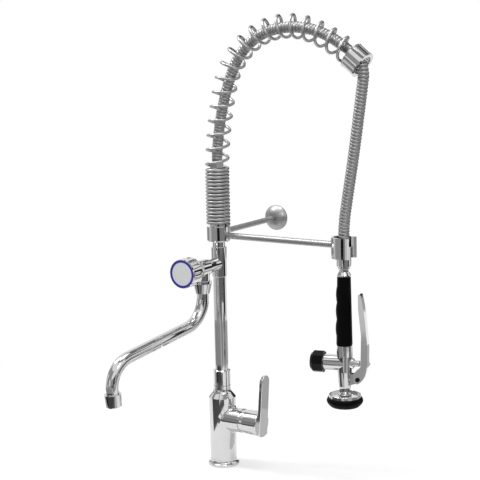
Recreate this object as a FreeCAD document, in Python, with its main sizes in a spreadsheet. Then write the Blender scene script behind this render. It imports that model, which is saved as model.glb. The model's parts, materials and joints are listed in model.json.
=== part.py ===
import FreeCAD, Part

import math
import os

import Sketcher
from FreeCAD import Placement, Rotation, Vector

# Commercial kitchen faucet: a single-hole mixer carries a riser with an add-on tap, and above
# it a sprung hose arch with a hand sprayer. Millimetres. The origin is the centre of the base on
# the deck. +Z is up, +X points along the arm to the sprayer, and +Y to the wall.

SIZES = {
    "base": {
        "flange_radius": 27.0,
        "flange_bore": 20.2,
        "flange_height": 12.0,
        "flange_edge": 3.4,
        "flange_round": 1.8,
        "flange_foot": 0.8,
        "flange_cove": 8.0,
        "flange_lip": 0.3,
        "gasket_inner": 22.0,
        "gasket_outer": 24.9,
        "gasket_depth": 1.4,
        "seal_play": 0.1,
    },
    "mixer": {
        "spigot_radius": 19.9,
        "spigot_low": 0.6,
        "body_radius": 22.7,
        "body_shoulder_radius": 23.4,
        "body_shoulder": 121.2,
        "body_cone_radius": 18.8,
        "body_cone_height": 5.8,
        "body_neck_radius": 15.2,
        "body_neck_height": 10.0,
        "body_cove": 14.0,
        "body_collar_height": 5.0,
        "hub_height": 83.0,
        "branch_wall": 3.3,
        "branch_reach": 42.0,
        "branch_fillet": 4.0,
        "nut_clearance": 0.2,
        "chamber_start": 6.0,
        "recess_radius": 15.5,
        "recess_top": 40.0,
        "inlet_radius": 4.5,
        "inlet_offset": 7.5,
        "inlet_back": 3.0,
        "inlet_depth": 24.0,
        "stud_radius": 3.4,
        "stud_offset": 9.5,
        "stud_depth": 15.0,
        "outlet_socket_radius": 11.5,
        "outlet_socket_depth": 22.0,
        "outlet_radius": 6.0,
        "outlet_depth": 44.0,
    },
    "cartridge": {
        "cartridge_play": 0.3,
        "cartridge_start": 6.3,
        "cartridge_step": 32.5,
        "cartridge_end": 39.0,
        "cartridge_step_radius": 14.6,
        "socket_wall": 2.4,
        "rotor_socket_floor": 35.4,
        "nut_start": 32.7,
        "nut_end": 37.4,
        "nut_play": 0.3,
        "nut_wall": 2.5,
        "cap_skirt_start": 37.6,
        "cap_skirt_play": 0.6,
        "cap_skirt_clearance": 0.2,
        "cap_start": 42.1,
        "dome_stand": 2.0,
        "dome_wall": 2.0,
        "cap_opening": 12.0,
        "lever_pivot": 44.5,
        "rotor_play": 0.3,
        "rotor_start": 35.6,
        "rotor_disc_end": 39.2,
        "rotor_step": 2.9,
        "rotor_boss_end": 50.0,
        "rotor_slot_width": 8.6,
        "rotor_slot_floor": 39.4,
        "stem_width": 8.0,
        "stem_start": 41.5,
        "stem_end": 70.0,
        "pin_radius": 1.5,
        "pin_set_in": 0.4,
        "pin_play": 0.05,
    },
    "mixer_handle": {
        "skirt_start": 51.3,
        "skirt_wall": 1.1,
        "skirt_end": 79.6,
        "skirt_flare": 1.4,
        "skirt_edge": 0.8,
        "skirt_play": 0.4,
        "socket_width": 8.06,
        "socket_end": 70.3,
        "plate_thickness": 4.4,
        "plate_half_width": 13.0,
        "plate_tip_half_width": 12.0,
        "plate_straight": 74.5,
        "plate_tip_radius": 12.3,
        "plate_top": 86.5,
        "plate_lean_angle": 4.0,
        "plate_root": 1.6,
        "plate_edge": 1.2,
        "grub_radius": 2.0,
        "grub_length": 10.0,
        "grub_station": 68.0,
    },
    "riser": {
        "coupling_radius": 14.8,
        "coupling_gap": 0.2,
        "coupling_length": 27.0,
        "coupling_chamfer": 1.2,
        "coupling_neck_radius": 13.9,
        "coupling_neck": 2.2,
        "coupling_spigot_radius": 11.3,
        "coupling_spigot_length": 21.2,
        "coupling_bore": 8.0,
        "coupling_socket_radius": 11.6,
        "coupling_socket_depth": 13.2,
        "riser_radius": 11.5,
        "riser_wall": 1.5,
        "riser_foot_gap": 0.1,
        "riser_head_gap": 0.2,
        "upper_radius": 10.7,
        "upper_wall": 1.5,
        "upper_foot_gap": 0.2,
        "upper_in_nut": 2.0,
    },
    "tee": {
        "tee_radius": 13.2,
        "tee_foot": 22.2,
        "tee_head": 28.9,
        "tee_chamfer": 0.8,
        "tee_socket_radius": 11.6,
        "tee_socket_depth": 11.2,
        "tee_bore": 9.4,
        "tee_top_socket_radius": 10.8,
        "tee_top_socket_depth": 11.9,
        "tap_height": 355.0,
        "nub_radius": 10.9,
        "nub_reach": 22.8,
        "nub_bore": 7.0,
    },
    "tap": {
        "barrel_start": 23.0,
        "barrel_start_radius": 11.1,
        "barrel_waist": 33.0,
        "barrel_waist_radius": 12.0,
        "barrel_full": 42.0,
        "barrel_radius": 14.2,
        "barrel_end": 66.0,
        "barrel_end_radius": 14.8,
        "seat_radius": 5.5,
        "seat_start": 38.0,
        "seat_end": 43.0,
        "headwork_socket": 10.2,
        "nipple_station": 52.0,
        "nipple_radius": 12.6,
        "nipple_drop": 33.0,
        "nipple_bore": 11.0,
        "nipple_bore_depth": 18.0,
        "nipple_way": 7.0,
        "headwork_start": 43.2,
        "headwork_radius": 10.1,
        "headwork_hex": 66.1,
        "headwork_hex_length": 5.4,
        "headwork_hex_radius": 14.6,
        "headwork_neck_radius": 8.6,
        "headwork_end": 79.2,
        "headwork_bore": 4.2,
        "spindle_radius": 4.15,
        "spindle_start": 43.6,
        "spindle_end": 98.8,
        "spindle_thread": 2.1,
        "spindle_thread_depth": 9.0,
    },
    "knob": {
        "knob_back": 79.6,
        "knob_hub_radius": 12.5,
        "knob_shoulder": 85.5,
        "knob_radius": 24.5,
        "knob_back_round": 9.0,
        "knob_front_straight": 108.6,
        "knob_face": 110.6,
        "knob_face_radius": 23.7,
        "knob_recess_radius": 23.1,
        "knob_recess": 1.7,
        "knob_bore": 4.2,
        "knob_bore_end": 99.2,
        "knob_screw_radius": 2.0,
        "knob_screw_head_radius": 4.0,
        "knob_screw_head": 3.2,
        "knob_screw_seat": 103.5,
        "knob_screw_start": 91.0,
        "knob_screw_play": 0.2,
        "flute_radius": 8.0,
        "flute_depth": 1.5,
        "flute_start": 88.5,
        "ring_inner": 20.9,
        "ring_outer": 23.0,
        "disc_radius": 20.8,
        "inlay_thickness": 1.5,
    },
    "spout": {
        "spout_bearing": -101.0,
        "spout_radius": 10.4,
        "spout_wall": 1.4,
        "spout_tail_radius": 9.7,
        "spout_tail_length": 16.0,
        "spout_bead_radius": 12.2,
        "spout_bead_drop": 3.7,
        "spout_bead_gap": 0.3,
        "spout_straight": 12.3,
        "spout_first_bend_radius": 47.0,
        "spout_slant_angle": 10.5,
        "spout_run": 133.0,
        "spout_second_bend_radius": 44.5,
        "spout_overbend_angle": 6.0,
        "spout_tail": 13.0,
        "seal_rise": 8.0,
        "seal_width": 2.4,
        "seal_groove_radius": 8.6,
        "seal_outer": 10.9,
        "spout_nut_skirt": 9.0,
        "spout_nut_reach": 12.0,
        "spout_nut_lip_drop": 4.0,
        "spout_nut_radius": 15.6,
        "spout_nut_band": 4.5,
        "spout_nut_low_radius": 11.9,
        "spout_nut_thread": 12.7,
        "spout_nut_bore": 10.6,
        "aerator_radius": 14.0,
        "aerator_low_radius": 13.1,
        "aerator_length": 21.0,
        "aerator_overlap": 9.0,
        "aerator_chamfer": 1.2,
        "aerator_lip": 1.2,
        "insert_radius": 11.3,
        "insert_length": 9.5,
        "insert_hole_radius": 0.9,
        "insert_hole_ring": 7.0,
    },
    "collar": {
        "collar_radius": 20.0,
        "collar_skirt": 10.6,
        "collar_crown": 15.2,
        "collar_round": 3.0,
        "collar_bore": 11.0,
        "collar_boss_radius": 14.2,
        "collar_boss": 10.0,
        "arm_rise": 20.1,
        "wall_rod_rise": 4.0,
        "rod_socket_floor": 13.4,
        "screw_radius": 2.5,
        "screw_length": 7.0,
        "screw_inset": 16.6,
        "screw_gap": 0.2,
        "collar_screw_rise": 7.0,
    },
    "arm": {
        "arm_radius": 5.4,
        "arm_play": 0.05,
        "clip_set_back": 2.5,
        "clip_skirt": 20.4,
        "clip_crown": 13.6,
        "clip_outer": 18.6,
        "clip_inner": 14.8,
        "clip_mouth": 9.9,
        "clip_lip_out": 18.4,
        "clip_lip_mouth": 12.4,
        "clip_lip_wide": 16.2,
        "clip_shoulder": 14.3,
        "clip_round": 1.0,
        "arm_seat_depth": 1.4,
        "arm_seat_gap": 0.2,
    },
    "wall": {
        "wall_rod_radius": 5.0,
        "wall_face": 189.0,
        "wall_flange_radius": 22.8,
        "wall_flange_edge": 2.6,
        "wall_flange_height": 12.5,
        "wall_flange_neck": 7.6,
        "wall_flange_dome": 24.0,
        "wall_flange_wall": 1.8,
        "wall_stud_radius": 3.4,
        "wall_stud_depth": 18.0,
    },
    "spring": {
        "spring_radius": 18.0,
        "wire_radius": 2.55,
        "spring_seat_gap": 0.15,
        "closed_pitch": 5.95,
        "closed_turns": 16.4,
        "open_turns": 18.4,
        "spring_straight": 78.8,
        "lean_length": 162.0,
        "lean_angle": 14.9,
        "crown_length": 211.5,
        "crown_angle": 95.1,
        "fall_length": 79.8,
        "fall_angle": 18.6,
    },
    "spring_cap": {
        "cap_length": 26.0,
        "spring_cap_radius": 22.0,
        "spring_cap_bead": 22.7,
        "spring_cap_bead_width": 1.8,
        "spring_cap_wall": 1.2,
        "spring_cap_end": 2.0,
        "spring_cap_hole": 16.6,
        "spring_in_cap": 10.0,
    },
    "hose": {
        "hose_radius": 9.2,
        "hose_root_radius": 8.2,
        "hose_bore_radius": 6.6,
        "rib_pitch": 5.4,
        "hose_nut_length": 13.4,
        "hose_lead_radius": 320.0,
        "hose_lead_angle": 25.43,
        "hose_crown_radius": 117.5,
        "hose_crown_angle": 50.6,
        "hose_fall_radius": 161.7,
        "hose_fall_angle": 46.97,
        "hose_nut_rise": 94.8,
        "hose_nut_radius": 13.0,
        "hose_nut_bore": 10.8,
        "hose_nut_socket": 3.0,
        "hose_nut_way": 6.4,
    },
    "ferrule": {
        "sprayer_reach": 241.0,
        "sprayer_bearing": 15.0,
        "ferrule_head_drop": 2.0,
        "ferrule_length": 32.3,
        "ferrule_radius": 12.2,
        "ferrule_chamfer": 1.2,
        "ferrule_bore": 8.0,
        "ferrule_bore_depth": 18.3,
        "ferrule_way": 5.5,
    },
    "handle": {
        "tail_radius": 7.95,
        "tail_length": 16.3,
        "shoulder_radius": 10.2,
        "shoulder_gap": 0.3,
        "shoulder_band": 2.2,
        "neck_radius": 8.5,
        "neck_flare": 1.6,
        "neck_band": 4.2,
        "cone_radius": 11.2,
        "cone_length": 5.4,
        "cone_band": 1.9,
        "tube_radius": 8.5,
        "tube_bore": 5.5,
        "tube_tail": 16.3,
        "grip_length": 113.8,
        "grip_top_radius": 11.1,
        "grip_low_radius": 13.2,
        "grip_round": 1.2,
        "wave_radius": 12.4,
        "wave_half_height": 13.0,
        "wave_offset": 2.0,
        "first_wave_drop": 29.5,
        "second_wave_drop": 56.6,
        "third_wave_drop": 85.7,
        "grip_bore": 8.6,
    },
    "spray_body": {
        "spray_gap": 0.3,
        "spray_top_radius": 12.7,
        "spray_shoulder_drop": 18.0,
        "spray_shoulder_radius": 13.1,
        "spray_waist_drop": 44.0,
        "spray_waist_radius": 11.9,
        "spray_low_drop": 68.0,
        "spray_low_radius": 10.0,
        "spray_neck_drop": 76.5,
        "spray_neck_radius": 8.4,
        "spray_length": 84.8,
        "spray_spigot_radius": 7.4,
        "spray_socket_radius": 8.6,
        "spray_socket_depth": 16.2,
        "spray_way": 5.0,
        "valve_drop": 29.5,
        "stub_radius": 12.9,
        "stub_reach": 51.5,
        "valve_chamber_radius": 9.4,
        "valve_chamber": 7.5,
        "stem_hole": 5.1,
        "boss_radius": 8.6,
        "boss_reach": 15.0,
        "bush_socket_radius": 6.8,
        "bush_socket": 10.0,
        "lug_half_width": 4.9,
        "pin_reach": 23.0,
        "pin_drop": 25.3,
        "lug_round": 6.6,
        "lug_rise": 8.3,
        "lug_skirt": 10.6,
        "pivot_radius": 2.2,
        "pivot_half_length": 8.6,
        "pivot_head_radius": 3.6,
        "pivot_head": 1.1,
        "pivot_play": 0.05,
    },
    "valve": {
        "bush_end": 16.4,
        "bush_radius": 6.7,
        "stem_radius": 5.0,
        "stem_tip": 25.4,
        "stem_tip_round": 1.5,
        "stem_inner": -2.0,
        "stem_rod_radius": 2.6,
        "stem_rod_end": -22.0,
        "stem_flange_radius": 4.2,
        "stem_flange": -12.7,
        "washer_start": -7.8,
        "washer_thickness": 3.2,
        "washer_radius": 8.6,
        "washer_play": 0.1,
        "cap_inner": 34.0,
        "cap_outer": 55.6,
        "cap_corner_radius": 18.3,
        "cap_bore_end": 51.8,
        "cap_hole": 13.1,
        "cap_bevel": 5.5,
        "cap_bevel_radius": 13.0,
        "cap_plug_radius": 9.2,
        "cap_plug": 46.0,
    },
    "squeeze": {
        "lever_half_width": 8.0,
        "lever_side": 2.6,
        "lever_web": 2.2,
        "lever_end_round": 7.6,
        "lever_low_out": 36.2,
        "lever_low_rise": 8.8,
        "lever_belly_out": 39.0,
        "lever_belly_rise": 36.8,
        "lever_mid_out": 37.8,
        "lever_mid_rise": 72.8,
        "lever_upper_out": 33.2,
        "lever_upper_rise": 116.8,
        "lever_tip_out": 29.2,
        "lever_tip_rise": 138.8,
        "lever_tip_round": 1.6,
        "lever_tip_depth": 3.2,
        "lever_depth": 8.6,
        "lever_belly_depth": 10.6,
        "lever_waist_rise": 20.8,
        "lever_waist_out": 27.6,
        "lever_belly_radius": 90.0,
        "lever_back_radius": 420.0,
        "adjuster_radius": 2.5,
        "adjuster_tip": 25.7,
        "adjuster_end": 42.0,
        "adjuster_nut_radius": 5.2,
        "adjuster_nut": 3.2,
        "adjuster_nut_gap": 1.3,
    },
    "spray_face": {
        "plate_rim_radius": 26.3,
        "plate_rim_rise": 2.9,
        "plate_rim_skirt": 4.3,
        "plate_rim_wall": 1.7,
        "plate_floor_drop": 2.6,
        "plate_floor_wall": 1.6,
        "plate_hub_radius": 10.6,
        "plate_hub_rise": 3.6,
        "plate_hub_drop": 4.2,
        "plate_bore": 7.5,
        "bumper_radius": 30.0,
        "bumper_wide_drop": 2.4,
        "bumper_gap": 0.1,
        "bumper_top_radius": 27.6,
        "bumper_height": 13.1,
        "bumper_low_radius": 22.0,
        "bumper_inner": 16.0,
        "bumper_lip_rise": 1.9,
        "bumper_lip_radius": 17.6,
        "bumper_bulge_radius": 9.0,
        "nozzle_radius": 15.8,
        "nozzle_height": 9.7,
        "nozzle_gap": 0.3,
        "nozzle_chamber_radius": 13.8,
        "nozzle_face_wall": 3.0,
        "nozzle_roof_wall": 2.1,
        "nozzle_hole_radius": 0.9,
        "nozzle_inner_ring": 5.5,
        "nozzle_outer_ring": 11.0,
        "overrun": 1.0,
    },
}

# Heights, reaches and radii that follow from what carries each piece, as formulas of the sheet.
PLACES = {
    "nut_inner": "cartridge_step_radius + nut_play",
    "nut_outer": "nut_inner + nut_wall",
    "chamber_radius": "nut_outer + nut_clearance",
    "cartridge_radius": "chamber_radius - cartridge_play",
    "cap_skirt_inner": "cartridge_step_radius + cap_skirt_play",
    "cap_skirt_outer": "chamber_radius - cap_skirt_clearance",
    "dome_radius": "cap_skirt_outer + dome_stand",
    "branch_radius": "chamber_radius + branch_wall",
    "skirt_dome_radius": "dome_radius + skirt_play",
    "skirt_rim_radius": "skirt_dome_radius + skirt_wall",
    "skirt_end_radius": "skirt_rim_radius + skirt_flare",
    "rotor_socket_radius": "cartridge_step_radius - socket_wall",
    "rotor_radius": "rotor_socket_radius - rotor_play",
    "rotor_boss_radius": "rotor_radius - rotor_step",
    "pin_half_length": "rotor_boss_radius - pin_set_in",
    "body_cone": "body_shoulder + body_cone_height",
    "body_neck": "body_cone + body_neck_height",
    "body_top": "body_neck + body_collar_height",
    "coupling_low": "body_top + coupling_gap",
    "coupling_top": "coupling_low + coupling_length",
    "coupling_spigot_low": "coupling_low - coupling_spigot_length",
    "coupling_socket": "coupling_top - coupling_socket_depth",
    "riser_low": "coupling_socket + riser_foot_gap",
    "riser_top": "tee_socket - riser_head_gap",
    "upper_low": "tee_top_socket + upper_foot_gap",
    "upper_top": "hose_nut_low + upper_in_nut",
    "tee_low": "tap_height - tee_foot",
    "tee_top": "tap_height + tee_head",
    "tee_socket": "tee_low + tee_socket_depth",
    "tee_top_socket": "tee_top - tee_top_socket_depth",
    "nipple_low": "tap_height - nipple_drop",
    "nipple_bore_top": "nipple_low + nipple_bore_depth",
    "spout_tail_top": "nipple_low + spout_tail_length",
    "seal_height": "nipple_low + seal_rise",
    "spout_bead_low": "nipple_low - spout_bead_drop",
    "spout_bead_top": "nipple_low - spout_bead_gap",
    "spout_drop": "spout_bead_low - spout_straight",
    "spout_nut_low": "nipple_low - spout_nut_skirt",
    "spout_nut_top": "nipple_low + spout_nut_reach",
    "spout_nut_lip": "nipple_low - spout_nut_lip_drop",
    "arm_height": "tee_top + arm_rise",
    "collar_low": "arm_height - collar_skirt",
    "collar_top": "arm_height + collar_crown",
    "wall_rod_height": "arm_height + wall_rod_rise",
    "collar_screw_height": "arm_height + collar_screw_rise",
    "clip_low": "arm_height - clip_skirt",
    "clip_top": "arm_height + clip_crown",
    "clip_reach": "sprayer_reach - clip_set_back",
    "spring_rise": "collar_top + spring_straight",
    "hose_nut_low": "collar_top + hose_nut_rise",
    "hose_start": "hose_nut_low + hose_nut_length",
    "hose_nut_floor": "hose_nut_low + hose_nut_socket",
    "ferrule_top": "arm_height - ferrule_head_drop",
    "ferrule_low": "ferrule_top - ferrule_length",
    "ferrule_bore_top": "ferrule_low + ferrule_bore_depth",
    "tail_top": "ferrule_low + tail_length",
    "shoulder_top": "ferrule_low - shoulder_gap",
    "shoulder_low": "shoulder_top - shoulder_band",
    "neck_top": "shoulder_low - neck_flare",
    "neck_low": "neck_top - neck_band",
    "cone_edge": "neck_low - cone_length",
    "grip_top": "cone_edge - cone_band",
    "grip_low": "grip_top - grip_length",
    "tube_low": "grip_low - tube_tail",
    "first_wave": "grip_top - first_wave_drop",
    "second_wave": "grip_top - second_wave_drop",
    "third_wave": "grip_top - third_wave_drop",
    "spray_top": "grip_low - spray_gap",
    "spray_shoulder": "spray_top - spray_shoulder_drop",
    "spray_waist": "spray_top - spray_waist_drop",
    "spray_low": "spray_top - spray_low_drop",
    "spray_neck": "spray_top - spray_neck_drop",
    "spray_end": "spray_top - spray_length",
    "spray_socket": "spray_top - spray_socket_depth",
    "valve_height": "spray_top - valve_drop",
    "pin_height": "valve_height - pin_drop",
    "lug_top": "pin_height + lug_rise",
    "lug_low": "pin_height - lug_skirt",
    "lever_low": "pin_height + lever_low_rise",
    "lever_belly": "pin_height + lever_belly_rise",
    "lever_mid": "pin_height + lever_mid_rise",
    "lever_upper": "pin_height + lever_upper_rise",
    "lever_tip": "pin_height + lever_tip_rise",
    "lever_waist": "pin_height + lever_waist_rise",
    "plate_rim_top": "spray_end + plate_rim_rise",
    "plate_rim_low": "spray_end - plate_rim_skirt",
    "plate_floor": "spray_end - plate_floor_drop",
    "plate_floor_top": "plate_floor + plate_floor_wall",
    "plate_hub_top": "spray_end + plate_hub_rise",
    "plate_hub_low": "spray_end - plate_hub_drop",
    "bumper_top": "plate_rim_low - bumper_gap",
    "bumper_wide": "bumper_top - bumper_wide_drop",
    "bumper_low": "bumper_top - bumper_height",
    "bumper_lip": "bumper_low + bumper_lip_rise",
    "nozzle_top": "plate_hub_low - nozzle_gap",
    "nozzle_low": "nozzle_top - nozzle_height",
    "nozzle_chamber": "nozzle_low + nozzle_face_wall",
    "nozzle_roof": "nozzle_top - nozzle_roof_wall",
}

FULL_TURN = 360.0
FLUTES = 8
INSERT_HOLES = 12
NOZZLE_INNER_HOLES = 8
NOZZLE_OUTER_HOLES = 16
CAP_SIDES = 8
WIRE_SIDES = 8
POINTS_PER_TURN = 24

# Where the circles of one hose rib stand, as shares of the rib's length.
RIB_SHARES = (0.0, 0.22, 0.55, 0.77)

# How much of the shorter run the arc at a corner of the hose's route may take.
CORNER_SHARE = 0.45

# The free hose hangs from the spring cap to the sprayer: x and z of its route, chosen by hand.
# The first point is the end of the hose in the arch.
DROP_ROUTE = ((281.4, 696.2), (274.4, 645.0), (261.4, 556.0), (248.6, 482.0), (241.0, 436.0))

# The height of the ferrule's top for which that route was chosen.
DROP_ROUTE_FOOT = 402.0

DOC = FreeCAD.newDocument("kitchen_faucet")


class Size:
    """A length or an angle as a number, with the expression that binds it to the sheet."""

    def __init__(self, number, text):
        self.number = number
        self.text = text

    def __add__(self, other):
        other = as_size(other)
        return Size(self.number + other.number, f"({self.text} + {other.text})")

    def __sub__(self, other):
        other = as_size(other)
        return Size(self.number - other.number, f"({self.text} - {other.text})")

    def __mul__(self, other):
        other = as_size(other)
        return Size(self.number * other.number, f"({self.text} * {other.text})")

    def __truediv__(self, other):
        other = as_size(other)
        return Size(self.number / other.number, f"({self.text} / {other.text})")

    def __neg__(self):
        return Size(-self.number, f"(-1 * {self.text})")

    def __rsub__(self, other):
        return as_size(other) - self

    __radd__ = __add__
    __rmul__ = __mul__


def as_size(value):
    """A plain number becomes a Size, so that sums can mix the two."""
    if isinstance(value, Size):
        return value
    return Size(float(value), repr(float(value)))


def root(value):
    """The square root of a Size."""
    return Size(math.sqrt(value.number), f"sqrt({value.text})")


def sine(angle):
    """The sine of a Size in degrees."""
    return Size(math.sin(math.radians(angle.number)), f"sin({angle.text})")


def cosine(angle):
    """The cosine of a Size in degrees."""
    return Size(math.cos(math.radians(angle.number)), f"cos({angle.text})")


def half_chord(radius, offset):
    """Half the chord of a circle at a distance from its centre."""
    return root(radius * radius - offset * offset)


class Sheet:
    """The spreadsheet of driving sizes and of the places that follow. Each name reads back as a Size."""

    def __init__(self, groups, places):
        self.sheet = DOC.addObject("Spreadsheet::Sheet", "sizes")
        self.row = 1
        for group, sizes in groups.items():
            self.heading(group)
            for name, value in sizes.items():
                self.cell(name, str(value))
        self.heading("places")
        cells = {name: self.cell(name, "0") for name in places}
        for name, formula in places.items():
            self.sheet.set(cells[name], f"={formula}")
        DOC.recompute()

    def heading(self, words):
        self.sheet.set(f"A{self.row}", words)
        self.row += 1

    def cell(self, name, content):
        """Writes one named cell and says which it is."""
        place = f"B{self.row}"
        self.sheet.set(f"A{self.row}", name)
        self.sheet.set(place, content)
        self.sheet.setAlias(place, name)
        self.row += 1
        return place

    def __getattr__(self, name):
        return Size(float(self.sheet.get(name)), f"sizes.{name}")


S = Sheet(SIZES, PLACES)


def new_body(label, base=(0, 0, 0), bearing=None):
    """A body placed at a base point and turned about the vertical."""
    body = DOC.addObject("PartDesign::Body", label)
    body.Label = label
    if bearing is not None:
        body.Placement = Placement(Vector(), Rotation(Vector(0, 0, 1), as_size(bearing).number))
        if isinstance(bearing, Size):
            body.setExpression("Placement.Rotation.Angle", bearing.text)
    for axis, value in zip("xyz", base):
        if isinstance(value, Size):
            body.setExpression(f"Placement.Base.{axis}", value.text)
    return body


def origin_feature(body, role):
    """The origin plane or axis of a body, by its role."""
    return [item for item in body.Origin.OriginFeatures if item.Role == role][0]


def new_sketch(body, plane="XZ_Plane", offset=None, lean=None):
    """An empty sketch on an origin plane, moved along the plane's normal."""
    count = sum(item.isDerivedFrom("Sketcher::SketchObject") for item in body.Group)
    sketch = body.newObject("Sketcher::SketchObject", f"{body.Name}_outline_{count + 1}")
    sketch.AttachmentSupport = [(origin_feature(body, plane), "")]
    sketch.MapMode = "FlatFace"
    if lean is not None:
        turn = Rotation(Vector(1, 0, 0), lean.number)
        sketch.AttachmentOffset = Placement(Vector(), turn)
        sketch.setExpression("AttachmentOffset.Rotation.Angle", lean.text)
    if offset is not None:
        sketch.setExpression("AttachmentOffset.Base.z", as_size(offset).text)
    return sketch


def pin_point(sketch, item, end, axis, value):
    """Holds one coordinate of a sketch point at a Size, or on the axis."""
    if not isinstance(value, Size) and value == 0:
        line = -2 if axis == "x" else -1
        sketch.addConstraint(Sketcher.Constraint("PointOnObject", item, end, line))
        return
    value = as_size(value)
    kind = "DistanceX" if axis == "x" else "DistanceY"
    index = sketch.addConstraint(Sketcher.Constraint(kind, -1, 1, item, end, value.number))
    sketch.setExpression(f"Constraints[{index}]", value.text)


def arc_between(start, end, bend):
    """The short arc between two points: it turns left where bend is positive."""
    radius = abs(bend)
    chord = end - start
    side = Vector(-chord.y, chord.x, 0).normalize()
    rise = math.sqrt(max(radius**2 - (chord.Length / 2) ** 2, 0))
    centre = (start + end) / 2 + side * (rise if bend > 0 else -rise)
    first, last = (start, end) if bend > 0 else (end, start)
    angles = [math.atan2(point.y - centre.y, point.x - centre.x) for point in (first, last)]
    return Part.ArcOfCircle(Part.Circle(centre, Vector(0, 0, 1), radius), *angles)


def outline(sketch, points):
    """A closed outline. A point is (x, y), or (x, y, bend) where an arc of that radius leads
    to it: positive turns left, negative right."""
    spots = [Vector(as_size(point[0]).number, as_size(point[1]).number, 0) for point in points]
    ends = []
    for index, point in enumerate(points):
        start, end = spots[index - 1], spots[index]
        if len(point) == 2:
            item = sketch.addGeometry(Part.LineSegment(start, end))
            ends.append((item, 1, 2))
            continue
        bend = as_size(point[2])
        item = sketch.addGeometry(arc_between(start, end, bend.number))
        ends.append((item, 1, 2) if bend.number > 0 else (item, 2, 1))
        size = bend if bend.number > 0 else -bend
        held = sketch.addConstraint(Sketcher.Constraint("Radius", item, size.number))
        sketch.setExpression(f"Constraints[{held}]", size.text)
    for index, (item, first, last) in enumerate(ends):
        before = ends[index - 1]
        sketch.addConstraint(Sketcher.Constraint("Coincident", before[0], before[2], item, first))
        pin_point(sketch, item, last, "x", points[index][0])
        pin_point(sketch, item, last, "y", points[index][1])
    return sketch


def open_path(sketch, points):
    """A path of lines and arcs through points, given as for an outline."""
    spots = [Vector(as_size(point[0]).number, as_size(point[1]).number, 0) for point in points]
    last = None
    for start, end, point in zip(spots, spots[1:], points[1:]):
        if len(point) == 2:
            item = sketch.addGeometry(Part.LineSegment(start, end))
            first, final = 1, 2
        else:
            bend = as_size(point[2])
            item = sketch.addGeometry(arc_between(start, end, bend.number))
            size = bend if bend.number > 0 else -bend
            held = sketch.addConstraint(Sketcher.Constraint("Radius", item, size.number))
            sketch.setExpression(f"Constraints[{held}]", size.text)
            first, final = (1, 2) if bend.number > 0 else (2, 1)
        if last is None:
            pin_point(sketch, item, first, "x", points[0][0])
            pin_point(sketch, item, first, "y", points[0][1])
        else:
            sketch.addConstraint(Sketcher.Constraint("Coincident", *last, item, first))
        pin_point(sketch, item, final, "x", point[0])
        pin_point(sketch, item, final, "y", point[1])
        last = (item, final)
    return sketch


def circle(sketch, centre, radius):
    """A circle at a centre given by two coordinates."""
    spot = Vector(as_size(centre[0]).number, as_size(centre[1]).number, 0)
    item = sketch.addGeometry(Part.Circle(spot, Vector(0, 0, 1), radius.number))
    pin_point(sketch, item, 3, "x", centre[0])
    pin_point(sketch, item, 3, "y", centre[1])
    held = sketch.addConstraint(Sketcher.Constraint("Radius", item, radius.number))
    sketch.setExpression(f"Constraints[{held}]", radius.text)
    return sketch


def polygon(sketch, sides, radius, turn=0.0):
    """A regular polygon about the origin, by the radius of its corners."""
    corners = []
    for index in range(sides):
        angle = math.radians(turn + FULL_TURN * index / sides)
        corners.append((radius * math.cos(angle), radius * math.sin(angle)))
    return outline(sketch, corners)


def revolve(body, sketch, axis, kind="PartDesign::Revolution"):
    """Turns an outline round the sketch's H_Axis or V_Axis."""
    feature = body.newObject(kind, f"{sketch.Name}_turned")
    feature.Profile = sketch
    feature.ReferenceAxis = (sketch, [axis])
    feature.Angle = FULL_TURN
    DOC.recompute()
    return feature


def extrude(body, sketch, length, kind="PartDesign::Pad", both=False, back=False):
    """Pads or pockets an outline. A pocket without back cuts against the sketch's normal."""
    feature = body.newObject(kind, f"{sketch.Name}_{kind[12:].lower()}")
    feature.Profile = sketch
    feature.setExpression("Length", length.text)
    feature.Midplane = both
    feature.Reversed = back
    DOC.recompute()
    return feature


def sweep_feature(body, kind, profile, path):
    """Sweeps a profile along a path, to add or to cut."""
    feature = body.newObject(kind, f"{profile.Name}_swept")
    feature.Profile = profile
    feature.Spine = path
    DOC.recompute()
    return feature


def pocket(body, sketch, length, both=False, back=False):
    """Cuts an outline out of a body, and makes sure that something was cut."""
    before = body.Shape.Volume
    feature = extrude(body, sketch, length, "PartDesign::Pocket", both, back)
    if body.Shape.Volume > before - 1e-6:
        raise ValueError(f"{feature.Name} cuts nothing")
    return feature


def repeat_round(body, feature, role, count):
    """Repeats a feature round an origin axis."""
    pattern = body.newObject("PartDesign::PolarPattern", f"{feature.Name}_round")
    pattern.Originals = [feature]
    pattern.Axis = (origin_feature(body, role), [""])
    pattern.Angle = FULL_TURN
    pattern.Occurrences = count
    body.Tip = pattern
    DOC.recompute()
    return pattern


def soften(body, wanted, size, kind="PartDesign::Fillet"):
    """Fillets or chamfers the edges that a test accepts."""
    feature = body.newObject(kind, f"{body.Name}_{kind[12:].lower()}")
    feature.Base = (body.Group[-2], edge_names_of(body.Group[-2], wanted))
    feature.setExpression("Radius" if kind.endswith("Fillet") else "Size", size.text)
    DOC.recompute()
    return feature


def edge_names_of(feature, wanted):
    """The names of the edges of a feature that a test accepts."""
    edges = feature.Shape.Edges
    return [f"Edge{index + 1}" for index, edge in enumerate(edges) if wanted(edge)]


def turned(label, points, axis="V_Axis", base=(0, 0, 0), bearing=None):
    """A turned piece: an outline in the XZ plane, turned about the vertical (V_Axis) or about
    the body's own X (H_Axis)."""
    body = new_body(label, base, bearing)
    revolve(body, outline(new_sketch(body), points), axis)
    return body


def tube_outline(inner, outer, low, top):
    """The outline of a plain sleeve about the vertical."""
    return [(inner, low), (outer, low), (outer, top), (inner, top)]


def bar_outline(start, end, outer, inner=0):
    """The outline of a plain bar or sleeve along the body's own X."""
    return [(start, inner), (end, inner), (end, outer), (start, outer)]


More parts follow.
